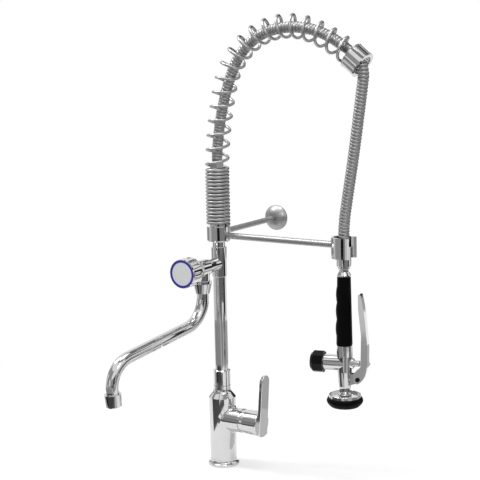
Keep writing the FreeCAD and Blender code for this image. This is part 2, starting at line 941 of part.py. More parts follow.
def feature(label, shape, placement=None):
    """A form that profiles and primitives don't reach, kept as one shape."""
    item = DOC.addObject("Part::Feature", label)
    item.Label = label
    item.Shape = shape
    if placement is not None:
        item.Placement = placement
    return item


# Deck mixer


def make_base_ring():
    top = S.flange_edge + S.flange_round
    inset = S.flange_radius - S.flange_round
    foot = S.flange_radius - S.flange_foot
    return turned("base_ring", [
        (S.flange_bore, 0),
        (S.gasket_inner, 0),
        (S.gasket_inner, S.gasket_depth),
        (S.gasket_outer + S.seal_play, S.gasket_depth),
        (S.gasket_outer + S.seal_play, 0),
        (foot, 0),
        (S.flange_radius, S.flange_foot),
        (S.flange_radius, S.flange_edge),
        (inset, top, S.flange_round),
        (S.body_radius + S.flange_lip, S.flange_height, -S.flange_cove),
        (S.flange_bore, S.flange_height),
    ])


def make_base_gasket():
    inner = S.gasket_inner + S.seal_play
    return turned("base_gasket", tube_outline(inner, S.gasket_outer, 0, S.gasket_depth - S.seal_play))


def mixer_hull(body):
    """The cast outer form: foot spigot, barrel, shoulder cone and coved neck."""
    revolve(body, outline(new_sketch(body), [
        (0, S.spigot_low),
        (S.spigot_radius, S.spigot_low),
        (S.spigot_radius, S.flange_height),
        (S.body_radius, S.flange_height),
        (S.body_shoulder_radius, S.body_shoulder),
        (S.body_cone_radius, S.body_cone),
        (S.body_neck_radius, S.body_neck, -S.body_cove),
        (S.body_neck_radius, S.body_top),
        (0, S.body_top),
    ]), "V_Axis")
    extrude(body, circle(new_sketch(body, "YZ_Plane"), (0, S.hub_height), S.branch_radius), S.branch_reach)


def make_mixer_body():
    body = new_body("mixer_body")
    mixer_hull(body)
    reach = S.branch_reach.number
    slack = S.overrun.number
    low = S.hub_height.number - S.branch_radius.number - slack
    high = S.hub_height.number + S.branch_radius.number + slack

    def is_joint(edge):
        box = edge.BoundBox
        inside = box.XMin > 0 and box.XMax < reach and box.ZMin >= low and box.ZMax <= high
        return inside and box.ZLength > slack and edge.Curve.TypeId != "Part::GeomLine"

    soften(body, is_joint, S.branch_fillet)
    mouth = new_sketch(body, "YZ_Plane", S.branch_reach)
    pocket(body, circle(mouth, (0, S.hub_height), S.chamber_radius), S.branch_reach - S.chamber_start)
    pocket(body, circle(new_sketch(body, "XY_Plane"), (0, 0), S.recess_radius), S.recess_top, back=True)
    for side in (-1, 1):
        inlet = new_sketch(body, "XY_Plane", S.recess_top)
        circle(inlet, (-S.inlet_back, S.inlet_offset * side), S.inlet_radius)
        pocket(body, inlet, S.inlet_depth, back=True)
    stud = circle(new_sketch(body, "XY_Plane", S.recess_top), (S.stud_offset, 0), S.stud_radius)
    pocket(body, stud, S.stud_depth, back=True)
    socket = circle(new_sketch(body, "XY_Plane", S.body_top), (0, 0), S.outlet_socket_radius)
    pocket(body, socket, S.outlet_socket_depth)
    way = circle(new_sketch(body, "XY_Plane", S.body_top), (0, 0), S.outlet_radius)
    pocket(body, way, S.outlet_depth)
    return body


def hub_piece(label, points):
    """A turned piece on the mixer's side hub."""
    return turned(label, points, "H_Axis", (0, 0, S.hub_height))


def make_cartridge():
    return hub_piece("mixer_cartridge", [
        (S.cartridge_start, 0),
        (S.rotor_socket_floor, 0),
        (S.rotor_socket_floor, S.rotor_socket_radius),
        (S.cartridge_end, S.rotor_socket_radius),
        (S.cartridge_end, S.cartridge_step_radius),
        (S.cartridge_step, S.cartridge_step_radius),
        (S.cartridge_step, S.cartridge_radius),
        (S.cartridge_start, S.cartridge_radius),
    ])


def make_cartridge_nut():
    return hub_piece("cartridge_nut", bar_outline(S.nut_start, S.nut_end, S.nut_outer, S.nut_inner))


def make_cartridge_cap():
    inner = S.dome_radius - S.dome_wall
    outer_end = S.lever_pivot + half_chord(S.dome_radius, S.cap_opening)
    inner_end = S.lever_pivot + half_chord(inner, S.cap_opening)
    return hub_piece("cartridge_cap", [
        (S.cap_skirt_start, S.cap_skirt_inner),
        (S.lever_pivot, S.cap_skirt_inner),
        (S.lever_pivot, inner),
        (inner_end, S.cap_opening, -inner),
        (outer_end, S.cap_opening),
        (S.lever_pivot, S.dome_radius, S.dome_radius),
        (S.cap_start, S.dome_radius),
        (S.cap_start, S.cap_skirt_outer),
        (S.cap_skirt_start, S.cap_skirt_outer),
    ])


def make_cartridge_rotor():
    body = hub_piece("cartridge_rotor", [
        (S.rotor_start, 0),
        (S.rotor_boss_end, 0),
        (S.rotor_boss_end, S.rotor_boss_radius),
        (S.rotor_disc_end, S.rotor_boss_radius),
        (S.rotor_disc_end, S.rotor_radius),
        (S.rotor_start, S.rotor_radius),
    ])
    half = S.rotor_slot_width / 2
    slot = outline(new_sketch(body, "XY_Plane"), [
        (S.rotor_slot_floor, -half),
        (S.rotor_boss_end + S.overrun, -half),
        (S.rotor_boss_end + S.overrun, half),
        (S.rotor_slot_floor, half),
    ])
    pocket(body, slot, S.rotor_radius * 4, both=True)
    hole = circle(new_sketch(body, "XZ_Plane"), (S.lever_pivot, 0), S.pin_radius)
    pocket(body, hole, S.rotor_radius * 4, both=True)
    return body


def make_stem_pin():
    body = new_body("stem_pin", (0, 0, S.hub_height))
    pin = circle(new_sketch(body, "XZ_Plane"), (S.lever_pivot, 0), S.pin_radius)
    extrude(body, pin, S.pin_half_length * 2, both=True)
    return body


def make_cartridge_stem():
    body = new_body("cartridge_stem", (0, 0, S.hub_height))
    half = S.stem_width / 2
    side = outline(new_sketch(body, "XZ_Plane"), [
        (S.stem_start, -half),
        (S.stem_end, -half),
        (S.stem_end, half),
        (S.stem_start, half),
    ])
    extrude(body, side, S.stem_width, both=True)
    hole = circle(new_sketch(body, "XZ_Plane"), (S.lever_pivot, 0), S.pin_radius + S.pin_play)
    pocket(body, hole, S.stem_width * 2, both=True)
    return body


def lever_plate(body):
    """The flat paddle: a round foot on the hub, straight sides and a round tip."""
    drop = half_chord(S.skirt_end_radius, S.plate_half_width)
    sketch = new_sketch(body, "YZ_Plane", S.skirt_end - S.plate_root, S.plate_lean_angle)
    outline(sketch, [
        (-S.plate_half_width, -drop),
        (S.plate_half_width, -drop, S.skirt_end_radius),
        (S.plate_tip_half_width, S.plate_straight),
        (0, S.plate_top, S.plate_tip_radius),
        (-S.plate_tip_half_width, S.plate_straight, S.plate_tip_radius),
    ])
    extrude(body, sketch, S.plate_thickness + S.plate_root)


def make_mixer_lever():
    rim = half_chord(S.skirt_dome_radius, S.skirt_start - S.lever_pivot)
    apex = S.lever_pivot + S.skirt_dome_radius
    body = hub_piece("mixer_lever", [
        (S.skirt_start, rim),
        (apex, 0, -S.skirt_dome_radius),
        (S.skirt_end, 0),
        (S.skirt_end, S.skirt_end_radius - S.skirt_edge),
        (S.skirt_end - S.skirt_edge, S.skirt_end_radius),
        (S.skirt_start, S.skirt_rim_radius),
    ])
    lever_plate(body)
    top = S.plate_straight.number

    def is_plate_edge(edge):
        return edge.BoundBox.ZMax > top

    soften(body, is_plate_edge, S.plate_edge)
    half = S.socket_width / 2
    socket = outline(new_sketch(body, "XZ_Plane"), [
        (S.lever_pivot, -half),
        (S.socket_end, -half),
        (S.socket_end, half),
        (S.lever_pivot, half),
    ])
    pocket(body, socket, S.socket_width, both=True)
    grub = circle(new_sketch(body, "XY_Plane"), (S.grub_station, 0), S.grub_radius)
    pocket(body, grub, S.skirt_end_radius + S.overrun)
    return body


def make_lever_screw():
    """The grub screw that clamps the lever on the stem from below."""
    body = new_body("lever_screw", (0, 0, S.hub_height))
    sketch = new_sketch(body, "XY_Plane", -(S.socket_width / 2))
    circle(sketch, (S.grub_station, 0), S.grub_radius)
    extrude(body, sketch, S.grub_length, back=True)
    return body


# Riser, tee and tap


def make_riser_coupling():
    edge = S.coupling_radius - S.coupling_chamfer
    neck = S.coupling_low + S.coupling_neck
    return turned("riser_coupling", [
        (S.coupling_bore, S.coupling_spigot_low),
        (S.coupling_spigot_radius, S.coupling_spigot_low),
        (S.coupling_spigot_radius, S.coupling_low),
        (S.coupling_neck_radius, S.coupling_low),
        (S.coupling_neck_radius, neck),
        (S.coupling_radius, neck),
        (S.coupling_radius, S.coupling_top - S.coupling_chamfer),
        (edge, S.coupling_top),
        (S.coupling_socket_radius, S.coupling_top),
        (S.coupling_socket_radius, S.coupling_socket),
        (S.coupling_bore, S.coupling_socket),
    ])


def make_riser_tube():
    inner = S.riser_radius - S.riser_wall
    return turned("riser_tube", tube_outline(inner, S.riser_radius, S.riser_low, S.riser_top))


def make_upper_riser():
    inner = S.upper_radius - S.upper_wall
    return turned("upper_riser", tube_outline(inner, S.upper_radius, S.upper_low, S.upper_top))


def make_tee_body():
    body = new_body("tee_body")
    edge = S.tee_radius - S.tee_chamfer
    revolve(body, outline(new_sketch(body), [
        (0, S.tee_low),
        (edge, S.tee_low),
        (S.tee_radius, S.tee_low + S.tee_chamfer),
        (S.tee_radius, S.tee_top - S.tee_chamfer),
        (edge, S.tee_top),
        (0, S.tee_top),
    ]), "V_Axis")
    extrude(body, circle(new_sketch(body), (0, S.tap_height), S.nub_radius), S.nub_reach)
    low = circle(new_sketch(body, "XY_Plane", S.tee_low), (0, 0), S.tee_socket_radius)
    pocket(body, low, S.tee_socket - S.tee_low, back=True)
    high = circle(new_sketch(body, "XY_Plane", S.tee_top), (0, 0), S.tee_top_socket_radius)
    pocket(body, high, S.tee_top - S.tee_top_socket)
    way = circle(new_sketch(body, "XY_Plane", S.tee_low), (0, 0), S.tee_bore)
    pocket(body, way, S.tee_top - S.tee_low, back=True)
    branch = circle(new_sketch(body), (0, S.tap_height), S.nub_bore)
    pocket(body, branch, S.nub_reach, back=True)
    return body


def tap_piece(label, points):
    """A turned piece on the tap's axis, which runs along -Y from the riser."""
    return turned(label, points, "H_Axis", (0, 0, S.tap_height), -FULL_TURN / 4)


def make_tap_body():
    body = tap_piece("tap_body", [
        (S.barrel_start, 0),
        (S.barrel_end, 0),
        (S.barrel_end, S.barrel_end_radius),
        (S.barrel_full, S.barrel_radius),
        (S.barrel_waist, S.barrel_waist_radius),
        (S.barrel_start, S.barrel_start_radius),
    ])
    drop = S.tap_height - S.nipple_low
    nipple = circle(new_sketch(body, "XY_Plane"), (S.nipple_station, 0), S.nipple_radius)
    extrude(body, nipple, drop, back=True)
    inlet = circle(new_sketch(body, "YZ_Plane", S.barrel_start), (0, 0), S.nub_bore)
    pocket(body, inlet, S.seat_start - S.barrel_start, back=True)
    seat = circle(new_sketch(body, "YZ_Plane", S.barrel_start), (0, 0), S.seat_radius)
    pocket(body, seat, S.barrel_end - S.barrel_start, back=True)
    socket = circle(new_sketch(body, "YZ_Plane", S.barrel_end), (0, 0), S.headwork_socket)
    pocket(body, socket, S.barrel_end - S.seat_end)
    foot = -drop
    tail = circle(new_sketch(body, "XY_Plane", foot), (S.nipple_station, 0), S.nipple_bore)
    pocket(body, tail, S.nipple_bore_top - S.nipple_low, back=True)
    way = circle(new_sketch(body, "XY_Plane", foot), (S.nipple_station, 0), S.nipple_way)
    pocket(body, way, drop, back=True)
    return body


def make_tap_headwork():
    body = tap_piece("tap_headwork", [
        (S.headwork_start, S.headwork_bore),
        (S.headwork_end, S.headwork_bore),
        (S.headwork_end, S.headwork_neck_radius),
        (S.headwork_hex, S.headwork_neck_radius),
        (S.headwork_hex, S.headwork_radius),
        (S.headwork_start, S.headwork_radius),
    ])
    nut = polygon(new_sketch(body, "YZ_Plane", S.headwork_hex), 6, S.headwork_hex_radius)
    circle(nut, (0, 0), S.headwork_bore)
    extrude(body, nut, S.headwork_hex_length)
    return body


def make_tap_spindle():
    thread_end = S.spindle_end - S.spindle_thread_depth
    return tap_piece("tap_spindle", [
        (S.spindle_start, 0),
        (thread_end, 0),
        (thread_end, S.spindle_thread),
        (S.spindle_end, S.spindle_thread),
        (S.spindle_end, S.spindle_radius),
        (S.spindle_start, S.spindle_radius),
    ])


def make_tap_knob():
    head = S.knob_screw_head_radius + S.knob_screw_play
    floor = S.knob_face - S.knob_recess
    body = tap_piece("tap_knob", [
        (S.knob_back, S.knob_bore),
        (S.knob_bore_end, S.knob_bore),
        (S.knob_bore_end, S.spindle_thread),
        (S.knob_screw_seat, S.spindle_thread),
        (S.knob_screw_seat, head),
        (floor, head),
        (floor, S.knob_recess_radius),
        (S.knob_face, S.knob_recess_radius),
        (S.knob_face, S.knob_face_radius),
        (S.knob_front_straight, S.knob_radius),
        (S.knob_shoulder, S.knob_radius),
        (S.knob_back, S.knob_hub_radius, S.knob_back_round + S.knob_recess),
    ])
    centre = S.knob_radius + S.flute_radius - S.flute_depth
    sketch = circle(new_sketch(body, "YZ_Plane", S.flute_start), (0, centre), S.flute_radius)
    flute = pocket(body, sketch, S.knob_face - S.flute_start - S.knob_recess * 2, back=True)
    repeat_round(body, flute, "X_Axis", FLUTES)
    return body


def make_knob_inlays():
    floor = S.knob_face - S.knob_recess
    top = floor + S.inlay_thickness
    tap_piece("knob_disc", bar_outline(floor, top, S.disc_radius))
    tap_piece("knob_ring", bar_outline(floor, top, S.ring_outer, S.ring_inner))


def make_knob_screw():
    head = S.knob_screw_seat + S.knob_screw_head
    return tap_piece("knob_screw", [
        (S.knob_screw_start, 0),
        (head, 0),
        (head, S.knob_screw_head_radius),
        (S.knob_screw_seat, S.knob_screw_head_radius),
        (S.knob_screw_seat, S.knob_screw_radius),
        (S.knob_screw_start, S.knob_screw_radius),
    ])


# Swing spout


def spout_corners():
    """The points of the spout's centreline, from its top down: x, z and the radius of the arc
    that leads there. Its headings count from straight down."""
    turn = FULL_TURN / 4 - S.spout_slant_angle
    sway, fall = sine(turn), cosine(turn)
    back_sway, back_fall = sine(S.spout_overbend_angle), cosine(S.spout_overbend_angle)
    low_x = S.spout_first_bend_radius * (1 - fall)
    low_z = S.spout_drop - S.spout_first_bend_radius * sway
    high_x = low_x + S.spout_run * sway
    high_z = low_z - S.spout_run * fall
    end_x = high_x + S.spout_second_bend_radius * (back_fall - fall)
    end_z = high_z - S.spout_second_bend_radius * (back_sway + sway)
    return [
        (0, S.spout_bead_low),
        (0, S.spout_drop),
        (low_x, low_z, S.spout_first_bend_radius),
        (high_x, high_z),
        (end_x, end_z, -S.spout_second_bend_radius),
        (end_x - S.spout_tail * back_sway, end_z - S.spout_tail * back_fall),
    ]


def make_spout_tube():
    body = new_body("spout_tube", (0, -S.nipple_station, 0), S.spout_bearing)
    inner = S.spout_radius - S.spout_wall
    half = S.seal_width / 2
    ring = circle(new_sketch(body, "XY_Plane", S.spout_bead_low), (0, 0), S.spout_radius)
    path = open_path(new_sketch(body), spout_corners())
    sweep_feature(body, "PartDesign::AdditivePipe", ring, path)
    revolve(body, outline(new_sketch(body), [
        (0, S.spout_bead_low),
        (S.spout_bead_radius, S.spout_bead_low),
        (S.spout_bead_radius, S.spout_bead_top),
        (S.spout_tail_radius, S.spout_bead_top),
        (S.spout_tail_radius, S.seal_height - half),
        (S.seal_groove_radius, S.seal_height - half),
        (S.seal_groove_radius, S.seal_height + half),
        (S.spout_tail_radius, S.seal_height + half),
        (S.spout_tail_radius, S.spout_tail_top),
        (0, S.spout_tail_top),
    ]), "V_Axis")
    way = circle(new_sketch(body, "XY_Plane", S.spout_tail_top), (0, 0), inner - S.spout_wall)
    pocket(body, way, S.spout_tail_top - S.spout_bead_low)
    bore = circle(new_sketch(body, "XY_Plane", S.spout_bead_low), (0, 0), inner)
    path = open_path(new_sketch(body), spout_corners())
    sweep_feature(body, "PartDesign::SubtractivePipe", bore, path)
    return body


def make_spout_seal():
    inner = S.seal_groove_radius + S.seal_play
    half = S.seal_width / 2 - S.seal_play
    outline_points = tube_outline(inner, S.seal_outer, S.seal_height - half, S.seal_height + half)
    return turned("spout_seal", outline_points, base=(0, -S.nipple_station, 0))


def make_spout_nut():
    return turned("spout_nut", [
        (S.spout_nut_bore, S.spout_nut_low),
        (S.spout_nut_low_radius, S.spout_nut_low),
        (S.spout_nut_radius, S.spout_nut_top - S.spout_nut_band),
        (S.spout_nut_radius, S.spout_nut_top),
        (S.spout_nut_thread, S.spout_nut_top),
        (S.spout_nut_thread, S.spout_nut_lip),
        (S.spout_nut_bore, S.spout_nut_lip),
    ], base=(0, -S.nipple_station, 0))


def aerator_frame():
    """The frame at the spout's tip: its own X points out of the tube."""
    x, z = spout_corners()[-1]
    lean = FULL_TURN / 4 + S.spout_overbend_angle.number
    swivel = Vector(0, -S.nipple_station.number, 0)
    swing = Placement(swivel, Rotation(Vector(0, 0, 1), S.spout_bearing.number))
    return swing * Placement(Vector(x.number, 0, z.number), Rotation(Vector(0, 1, 0), lean))


def make_aerator_housing():
    start = -S.aerator_overlap
    end = start + S.aerator_length
    bore = S.spout_radius + S.seal_play
    body = turned("aerator_housing", [
        (start, bore),
        (0, bore),
        (0, S.insert_radius + S.seal_play),
        (end - S.aerator_lip, S.insert_radius + S.seal_play),
        (end - S.aerator_lip, S.insert_radius - S.aerator_lip),
        (end, S.insert_radius - S.aerator_lip),
        (end, S.aerator_low_radius - S.aerator_chamfer),
        (end - S.aerator_chamfer, S.aerator_low_radius),
        (start, S.aerator_radius),
    ], "H_Axis")
    body.Placement = aerator_frame()
    return body


def make_aerator_insert():
    end = S.aerator_length - S.aerator_overlap - S.aerator_lip
    body = turned("aerator_insert", bar_outline(end - S.insert_length, end, S.insert_radius), "H_Axis")
    hole = circle(new_sketch(body, "YZ_Plane", end), (0, S.insert_hole_ring), S.insert_hole_radius)
    repeat_round(body, pocket(body, hole, S.insert_length), "X_Axis", INSERT_HOLES)
    body.Placement = aerator_frame()
    return body


# Spring collar, arm and wall stay


def make_spring_collar():
    body = new_body("spring_collar")
    boss = S.collar_top + S.collar_boss
    revolve(body, outline(new_sketch(body), [
        (S.collar_bore, S.collar_low),
        (S.collar_radius - S.collar_round, S.collar_low),
        (S.collar_radius, S.collar_low + S.collar_round, S.collar_round),
        (S.collar_radius, S.collar_top),
        (S.collar_boss_radius, S.collar_top),
        (S.collar_boss_radius, boss),
        (S.collar_bore, boss),
    ]), "V_Axis")
    depth = S.collar_radius - S.rod_socket_floor + S.overrun
    start = S.collar_radius + S.overrun
    arm = circle(new_sketch(body, "YZ_Plane", start), (0, S.arm_height), S.arm_radius + S.arm_play)
    pocket(body, arm, depth)
    rod_hole = S.wall_rod_radius + S.arm_play
    stay = circle(new_sketch(body, "XZ_Plane", -start), (0, S.wall_rod_height), rod_hole)
    pocket(body, stay, depth, back=True)
    for spot, height in (((S.screw_inset, 0), S.arm_height), ((0, S.screw_inset), S.wall_rod_height)):
        hole = circle(new_sketch(body, "XY_Plane", S.collar_low), spot, S.screw_radius)
        pocket(body, hole, height - S.collar_low, back=True)
    clamp = circle(new_sketch(body, "YZ_Plane", -start), (0, S.collar_screw_height), S.screw_radius)
    pocket(body, clamp, start - S.collar_bore + S.overrun, back=True)
    return body


def make_collar_screws():
    """Three grub screws: one under each rod and one that clamps the collar on the riser."""
    label = "collar_screws"
    group = []
    arm_gap = S.arm_height - S.arm_radius - S.screw_gap - S.collar_low
    stay_gap = S.wall_rod_height - S.wall_rod_radius - S.screw_gap - S.collar_low
    spots = (((S.screw_inset, 0), arm_gap), ((0, S.screw_inset), stay_gap))
    for index, ((x, y), length) in enumerate(spots):
        screw = DOC.addObject("Part::Cylinder", f"{label}_under_{index + 1}")
        screw.setExpression("Radius", S.screw_radius.text)
        screw.setExpression("Height", length.text)
        for axis, value in zip("xyz", (x, y, S.collar_low)):
            if isinstance(value, Size):
                screw.setExpression(f"Placement.Base.{axis}", value.text)
        group.append(screw)
    clamp = DOC.addObject("Part::Cylinder", f"{label}_clamp")
    clamp.Placement = Placement(Vector(), Rotation(Vector(0, 1, 0), FULL_TURN / 4))
    clamp.setExpression("Radius", S.screw_radius.text)
    clamp.setExpression("Height", S.screw_length.text)
    clamp.setExpression("Placement.Base.x", (-(S.upper_radius + S.screw_gap + S.screw_length)).text)
    clamp.setExpression("Placement.Base.z", S.collar_screw_height.text)
    group.append(clamp)
    DOC.recompute()
    return feature(label, Part.Compound([item.Shape for item in group]))


def make_holder_arm():
    end = S.clip_reach - S.clip_outer + S.arm_seat_depth - S.arm_seat_gap
    start = S.rod_socket_floor + S.arm_seat_gap
    return turned("holder_arm", bar_outline(start, end, S.arm_radius), "H_Axis", (0, 0, S.arm_height))


def clip_outline():
    """A C that opens along +X, with lips that flare out: inner wall, one lip, outer wall, other lip."""
    inner_end = half_chord(S.clip_inner, S.clip_mouth)
    outer_end = half_chord(S.clip_outer, S.clip_shoulder)
    return [
        (inner_end, S.clip_mouth),
        (-S.clip_inner, 0, S.clip_inner),
        (inner_end, -S.clip_mouth, S.clip_inner),
        (S.clip_lip_out, -S.clip_lip_mouth),
        (S.clip_lip_out - S.clip_round, -S.clip_lip_wide),
        (outer_end, -S.clip_shoulder),
        (-S.clip_outer, 0, -S.clip_outer),
        (outer_end, S.clip_shoulder, -S.clip_outer),
        (S.clip_lip_out - S.clip_round, S.clip_lip_wide),
        (S.clip_lip_out, S.clip_lip_mouth),
    ]


def make_holder_clip():
    body = new_body("holder_clip", (S.clip_reach, 0, 0))
    sketch = outline(new_sketch(body, "XY_Plane", S.clip_low), clip_outline())
    extrude(body, sketch, S.clip_top - S.clip_low)
    seat = new_sketch(body, "YZ_Plane", -(S.clip_outer + S.overrun))
    circle(seat, (0, S.arm_height), S.arm_radius + S.arm_play)
    pocket(body, seat, S.arm_seat_depth + S.overrun, back=True)
    return body


def make_wall_rod():
    start = S.rod_socket_floor + S.arm_seat_gap
    thread = S.wall_face - S.wall_stud_depth
    points = [
        (start, 0),
        (thread, 0),
        (thread, S.wall_stud_radius),
        (S.wall_face, S.wall_stud_radius),
        (S.wall_face, S.wall_rod_radius),
        (start, S.wall_rod_radius),
    ]
    return turned("wall_rod", points, "H_Axis", (0, 0, S.wall_rod_height), FULL_TURN / 4)


def make_wall_flange():
    bore = S.wall_rod_radius + S.arm_play
    top = S.wall_face - S.wall_flange_height
    edge = S.wall_face - S.wall_flange_edge
    inner = S.wall_flange_radius - S.wall_flange_wall
    points = [
        (top, bore),
        (top + S.wall_flange_wall, bore),
        (edge, inner, -(S.wall_flange_dome - S.wall_flange_wall)),
        (S.wall_face, inner),
        (S.wall_face, S.wall_flange_radius),
        (edge, S.wall_flange_radius),
        (top, S.wall_flange_neck, S.wall_flange_dome),
    ]
    return turned("wall_flange", points, "H_Axis", (0, 0, S.wall_rod_height), FULL_TURN / 4)


# Spring and hose


class Route:
    """A centreline in the XZ plane: straights and arcs, each a length and a turn. The heading
    counts from straight up, towards +X."""

    def __init__(self, spot, heading, stretches):
        self.stretches = []
        for length, turn in stretches:
            self.stretches.append((spot, heading, length, turn))
            spot, heading = self.step(spot, heading, length, turn, length)
        self.end, self.end_heading = spot, heading
        self.length = sum(stretch[2] for stretch in self.stretches)

    @staticmethod
    def step(spot, heading, length, turn, run):
        """The point and heading at a run along one stretch."""
        if not turn:
            return spot + Vector(math.sin(heading), 0, math.cos(heading)) * run, heading
        radius = length / turn
        last = heading + turn * run / length
        centre = spot + Vector(math.cos(heading), 0, -math.sin(heading)) * radius
        return centre - Vector(math.cos(last), 0, -math.sin(last)) * radius, last

    def at(self, run):
        """The point and heading at a run along the whole route."""
        for spot, heading, length, turn in self.stretches:
            if run <= length:
                return self.step(spot, heading, length, turn, run)
            run -= length
        spot, heading, length, turn = self.stretches[-1]
        return self.step(spot, heading, length, turn, length + run)

    def wire(self):
        """The route as one wire of lines and arcs."""
        edges = []
        for spot, heading, length, turn in self.stretches:
            end = self.step(spot, heading, length, turn, length)[0]
            if turn:
                middle = self.step(spot, heading, length, turn, length / 2)[0]
                edges.append(Part.Arc(spot, middle, end).toShape())
            else:
                edges.append(Part.LineSegment(spot, end).toShape())
        return Part.Wire(edges)


def spring_route():
    """The centreline that the spring winds round, from its seat to inside the spring cap."""
    low = S.collar_top + S.spring_seat_gap + S.wire_radius
    return Route(Vector(0, 0, low.number), 0, [
        ((S.spring_rise - low).number, 0),
        (S.lean_length.number, math.radians(S.lean_angle.number)),
        (S.crown_length.number, math.radians(S.crown_angle.number)),
        (S.fall_length.number, math.radians(S.fall_angle.number)),
        (S.spring_in_cap.number, 0),
    ])


def coil_stations(route):
    """The run along the route and the angle of each half turn: first closed, then open coils."""
    closed, opened = S.closed_turns.number, S.open_turns.number
    lower = closed * S.closed_pitch.number
    pitch = (route.length - lower) / opened
    count = round(2 * (closed + opened))
    stations = []
    for index in range(count + 1):
        turns = index / 2
        run = turns * S.closed_pitch.number
        if turns > closed:
            run = lower + (turns - closed) * pitch
        stations.append((min(run, route.length), 2 * math.pi * turns))
    return stations


def coil_point(route, radius, run, angle):
    """A point on the coil."""
    spot, heading = route.at(run)
    across = Vector(math.cos(heading), 0, -math.sin(heading))
    return spot + (across * math.cos(angle) + Vector(0, 1, 0) * math.sin(angle)) * radius


def coil_tangent(route, radius, stations, index):
    """The direction of the coil at a half turn, from points close on both sides of it."""
    run, angle = stations[index]
    before = stations[max(index - 1, 0)]
    after = stations[min(index + 1, len(stations) - 1)]
    slope = (after[0] - before[0]) / (after[1] - before[1])
    nudge = math.pi / 180
    start = coil_point(route, radius, run - slope * nudge, angle - nudge)
    end = coil_point(route, radius, run + slope * nudge, angle + nudge)
    return (end - start).normalize()


def biarc(start, first, end, last):
    """Two arcs that join two points and keep both directions."""
    chord = end - start
    pull = first + last
    square = 2 * (first.dot(last) - 1)
    middle = -2 * chord.dot(pull)
    reach = (-middle - math.sqrt(middle**2 - 4 * square * chord.dot(chord))) / (2 * square)
    near, far = start + first * reach, end - last * reach
    joint = (near + far) / 2
    arcs = []
    for a, corner, b in ((start, near, joint), (joint, far, end)):
        weight = math.cos((corner - a).getAngle(b - corner) / 2)
        arcs.append(Part.Arc(a, (a + b + corner * 2 * weight) / (2 + 2 * weight), b).toShape())
    return arcs


def coil_wire(route, radius, stations):
    """The coil as one wire of biarcs."""
    spots = [coil_point(route, radius, run, angle) for run, angle in stations]
    ways = [coil_tangent(route, radius, stations, index) for index in range(len(stations))]
    edges = []
    for index in range(len(spots) - 1):
        edges += biarc(spots[index], ways[index], spots[index + 1], ways[index + 1])
    return Part.Wire(edges)


def sweep_round(wire, radius):
    """A round solid along a wire."""
    first = wire.Edges[0]
    start = first.valueAt(first.FirstParameter)
    way = first.tangentAt(first.FirstParameter)
    ring = Part.Wire(Part.makeCircle(radius, start, way))
    return wire.makePipeShell([ring], True, False)


def sweep_wire(wire, radius):
    """A solid of an even-sided section along a wire, which keeps the coil light."""
    first = wire.Edges[0]
    start = first.valueAt(first.FirstParameter)
    way = first.tangentAt(first.FirstParameter)
    across = way.cross(Vector(0, 0, 1)).normalize()
    upward = across.cross(way)
    corners = []
    for index in range(WIRE_SIDES + 1):
        angle = 2 * math.pi * (index + 0.5) / WIRE_SIDES
        corners.append(start + (across * math.cos(angle) + upward * math.sin(angle)) * radius)
    return wire.makePipeShell([Part.makePolygon(corners)], True, False)


def least_self_gap(wire, radius, turns):
    """The least distance between points over half a turn apart, less the tube's diameter."""
    count = round(turns * POINTS_PER_TURN)
    points = wire.discretize(Number=count)
    apart = POINTS_PER_TURN // 2
    least = min(
        points[i].distanceToPoint(points[j])
        for i in range(count)
        for j in range(i + apart, min(i + 3 * apart, count))
    )
    return least - 2 * radius


def make_arch_spring():
    route = spring_route()
    stations = coil_stations(route)
    wire = coil_wire(route, S.spring_radius.number, stations)
    turns = S.closed_turns.number + S.open_turns.number
    gap = least_self_gap(wire, S.wire_radius.number, turns)
    print(f"arch_spring: {turns:.1f} turns, least gap to itself {gap:.2f} mm")
    return feature("arch_spring", sweep_wire(wire, S.wire_radius.number))


def cap_frame():
    """The frame of the spring cap: its own X runs out along the end of the spring."""
    route = spring_route()
    spot, heading = route.at(route.length - S.spring_in_cap.number)
    return Placement(spot, Rotation(Vector(0, 1, 0), math.degrees(heading) - FULL_TURN / 4))


def make_spring_cap():
    inner = S.spring_cap_radius - S.spring_cap_wall
    floor = S.cap_length - S.spring_cap_end
    body = turned("spring_cap", [
        (0, inner),
        (floor, inner),
        (floor, S.spring_cap_hole),
        (S.cap_length, S.spring_cap_hole),
        (S.cap_length, S.spring_cap_bead),
        (S.cap_length - S.spring_cap_bead_width, S.spring_cap_bead),
        (S.cap_length - S.spring_cap_bead_width, S.spring_cap_radius),
        (S.spring_cap_bead_width, S.spring_cap_radius),
        (S.spring_cap_bead_width, S.spring_cap_bead),
        (0, S.spring_cap_bead),
    ], "H_Axis")
    body.Placement = cap_frame()
    return body


def arch_hose_route():
    """The hose in the arch: it leans inside the spring and ends in a straight in the cap."""
    def bend(radius, turn):
        angle = math.radians(turn.number)
        return radius.number * angle, angle

    return Route(Vector(0, 0, S.hose_start.number), 0, [
        (2 * S.hose_radius.number, 0),
        bend(S.hose_lead_radius, S.hose_lead_angle),
        bend(S.hose_crown_radius, S.hose_crown_angle),
        bend(S.hose_fall_radius, S.hose_fall_angle),
        (2 * S.hose_radius.number, 0),
    ])


